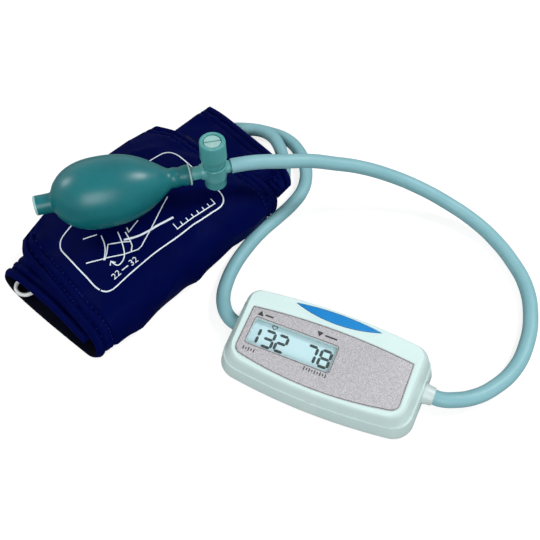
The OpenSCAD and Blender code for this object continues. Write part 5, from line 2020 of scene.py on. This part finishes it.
    def seam_points(self) -> list[tuple[Vector, Vector, Vector]]:
        """Give each stitch's place, run and outward way on the top layer and the front fold."""
        spots = []
        for seam, _ in self.seams:
            for hem in (0, 1):
                following = self.stitch_start
                for index in range(1, self.steps * 7):
                    if self.strip.along[index] < following:
                        continue
                    share = seam / self.strip.width(index)
                    share = share if hem == 0 else 1 - share
                    back, here = (self.on_cover(row, share) for row in (index - 1, index))
                    spots.append((here, (here - back).normalized(), self.strip.way(index, share)))
                    following = self.strip.along[index] + self.stitch_pitch
        return spots

    def stitches(self) -> Piece:
        """Sew the double seams: one stitch is modelled and copied along them into one mesh."""
        Bench.clear()
        bpy.ops.mesh.primitive_uv_sphere_add(segments=6, ring_count=5, radius=MM)
        single = Bench.named("single_stitch")
        single.scale = self.stitch_size
        bpy.ops.object.transform_apply(location=False, rotation=False, scale=True)
        rows = bmesh.new()
        for here, run, out in self.seam_points():
            side = run.cross(out).normalized()
            frame = Matrix((side, run, side.cross(run))).transposed().to_4x4()
            frame.translation = (here + out * 0.06) * MM
            copy = single.data.copy()
            copy.transform(frame)
            rows.from_mesh(copy)
            bpy.data.meshes.remove(copy)
        rows.to_mesh(single.data)
        rows.free()
        single.name = "cuff_stitches"
        Bench.seat(single, self.place())
        Bench.smooth(single, 60.0)
        return self.shop.settle(single, self.palette.stitch, "cuff_cloth")

    def ribbon(self, points: Sequence[Flat], wide: float, closed: bool = False) -> Piece:
        """Make a flat line of print above the cuff.

        Args:
            points: Its points, in the cuff's own U and V.
            wide: Its width.
            closed: True for a closed line.

        Returns:
            The line as a flat mesh.
        """
        path: list[Vector] = []
        corners = [Vector(point) for point in points]
        corners += [corners[0]] if closed else []
        for start, end in zip(corners, corners[1:]):
            parts = max(1, int((end - start).length / 1.5))
            path += [start.lerp(end, step / parts) for step in range(parts)]
        path.append(corners[-1])
        Bench.clear()
        bpy.ops.mesh.primitive_grid_add(x_subdivisions=len(path) - 1, y_subdivisions=1, size=MM)
        line = Bench.named("line")
        ordered = sorted(
            line.data.vertices, key=lambda vertex: (round(vertex.co.x, 9), vertex.co.y)
        )
        first, last = (path[-2], path[1]) if closed else (path[0], path[-1])
        longer = [first, *path, last]
        for number, (before, centre, after) in enumerate(zip(longer, path, longer[2:])):
            run = (after - before).normalized()
            side = Vector((-run.y, run.x)) * wide / 2
            ordered[2 * number].co = (*((centre - side) * MM), self.print_from)
            ordered[2 * number + 1].co = (*((centre + side) * MM), self.print_from)
        return line

    def rounded_box(self, corners: Sequence[Flat], radius: float) -> list[Flat]:
        """Give a four-cornered outline with round corners."""
        points, parts, count = [], 6, len(corners)
        for number in range(count):
            before, here, after = (Vector(corners[(number + step) % count]) for step in (-1, 0, 1))
            first = here + (before - here).normalized() * radius
            last = here + (after - here).normalized() * radius
            for step in range(parts + 1):
                t = step / parts
                point = first * (1 - t) ** 2 + here * 2 * t * (1 - t) + last * t**2
                points.append((point.x, point.y))
        return points

    def label(self, cover: Piece) -> Piece:
        """Print a plain sizing guide on the cover: a frame, an arm sign and a numbered scale."""
        corners = ((25.0, 60.6), (22.8, 15.2), (109.0, 10.8), (111.4, 62.0))
        lines = [self.ribbon(self.rounded_box(corners, 8.0), self.frame_width, True)]
        lines += self.arm_sign()
        lines += self.scale_marks()
        label = Bench.joined("cuff_print", lines)
        Bench.seat(label, self.place())
        Bench.modify(
            label, "SHRINKWRAP", wrap_method="PROJECT", use_project_z=True,
            use_negative_direction=True, use_positive_direction=False, target=cover,
            offset=self.print_rise * MM, wrap_mode="ABOVE_SURFACE",
        )
        return self.shop.settle(label, self.palette.label, "cuff_cloth")

    def arm_sign(self) -> list[Piece]:
        """Make the sign of an arm with a band round it and an arrow for the wrap."""
        straight = (
            ((28.4, 37.6), (35.4, 31.8), (44.4, 24.8), (51.6, 21.2), (54.2, 21.2), (64.2, 25.0),
             (85.0, 34.2)),
            ((35.8, 30.2), (39.2, 32.4), (42.8, 35.6), (48.6, 30.8), (52.0, 27.6), (51.0, 25.2),
             (48.6, 23.2)),
            ((36.4, 49.4), (42.8, 45.0)),
            ((56.2, 35.4), (55.0, 32.4), (63.2, 34.2)),
            ((35.6, 25.6), (37.4, 27.2), (38.6, 24.6)),
        )
        curved = (
            ((44.0, 42.8), (42.0, 37.8), (39.4, 34.0), (35.4, 30.6)),
            ((53.8, 34.0), (52.9, 30.4), (52.0, 27.6)),
            ((51.2, 37.2), (48.6, 30.8), (45.4, 25.2), (42.2, 22.6), (38.4, 22.6), (37.4, 26.8)),
        )
        lines = [self.ribbon(points, self.line_width) for points in straight]
        lines += [self.ribbon(smoothed(points, 5), self.line_width) for points in curved]
        thick = ((50.2, 31.0), (55.8, 27.4), (62.6, 25.2), (69.6, 24.0), (78.2, 22.2))
        lines.append(self.ribbon(smoothed(thick, 4), self.band_width))
        return lines

    def scale_marks(self) -> list[Piece]:
        """Make the range of arm sizes in plain numbers, and a short row of ticks."""
        lines = [
            self.ribbon([(38.0, 18.9), (42.0, 18.4)], 0.6),
            self.ribbon([(74.8, 15.8), (102.2, 14.4)], 0.6),
        ]
        for step in range(8):
            u, v = 75.1 + step * 3.83, 15.7 - step * 0.2
            tall = 3.8 if step % 7 == 0 else 2.3
            lines.append(self.ribbon([(u, v), (u + 0.2, v + tall)], self.tick_width))
        lines += [self.number("22", 31.8, 18.2), self.number("32", 42.9, 16.8)]
        return lines

    def number(self, text: str, u: float, v: float) -> Piece:
        """Make a plain printed number as a flat mesh."""
        Bench.clear()
        bpy.ops.object.text_add(location=(u * MM, v * MM, self.print_from), rotation=(0, 0, -0.1))
        piece = bpy.context.object
        piece.data.body = text
        piece.data.size = self.number_size * MM
        bpy.ops.object.convert(target="MESH")
        piece = Bench.named("number")
        bpy.ops.object.transform_apply(location=True, rotation=True, scale=True)
        Bench.modify(piece, "SUBSURF", subdivision_type="SIMPLE", levels=1, render_levels=1)
        return piece

    def build(self) -> None:
        """Build the whole cuff."""
        self.cover()
        self.bladder()
        self.flap()
        self.shop.dress_all({"bladder_port": self.palette.seal, "cuff_ring": self.palette.ring})


def main() -> None:
    """Build the studio, the hoses and each sub-assembly, and note the sizes."""
    logging.basicConfig(level=logging.INFO, format="%(levelname)s %(name)s: %(message)s")
    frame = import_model()
    shop = Shop(frame, Effects())
    palette = Palette()
    Studio().build()
    Hoses(shop, palette).build()
    for part in (MonitorUnit(shop, palette), HandBulb(shop, palette), ArmCuff(shop, palette)):
        part.build()
        LOG.info("%s built", type(part).__name__)
    bpy.context.view_layer.update()


if __name__ == "__main__":
    main()
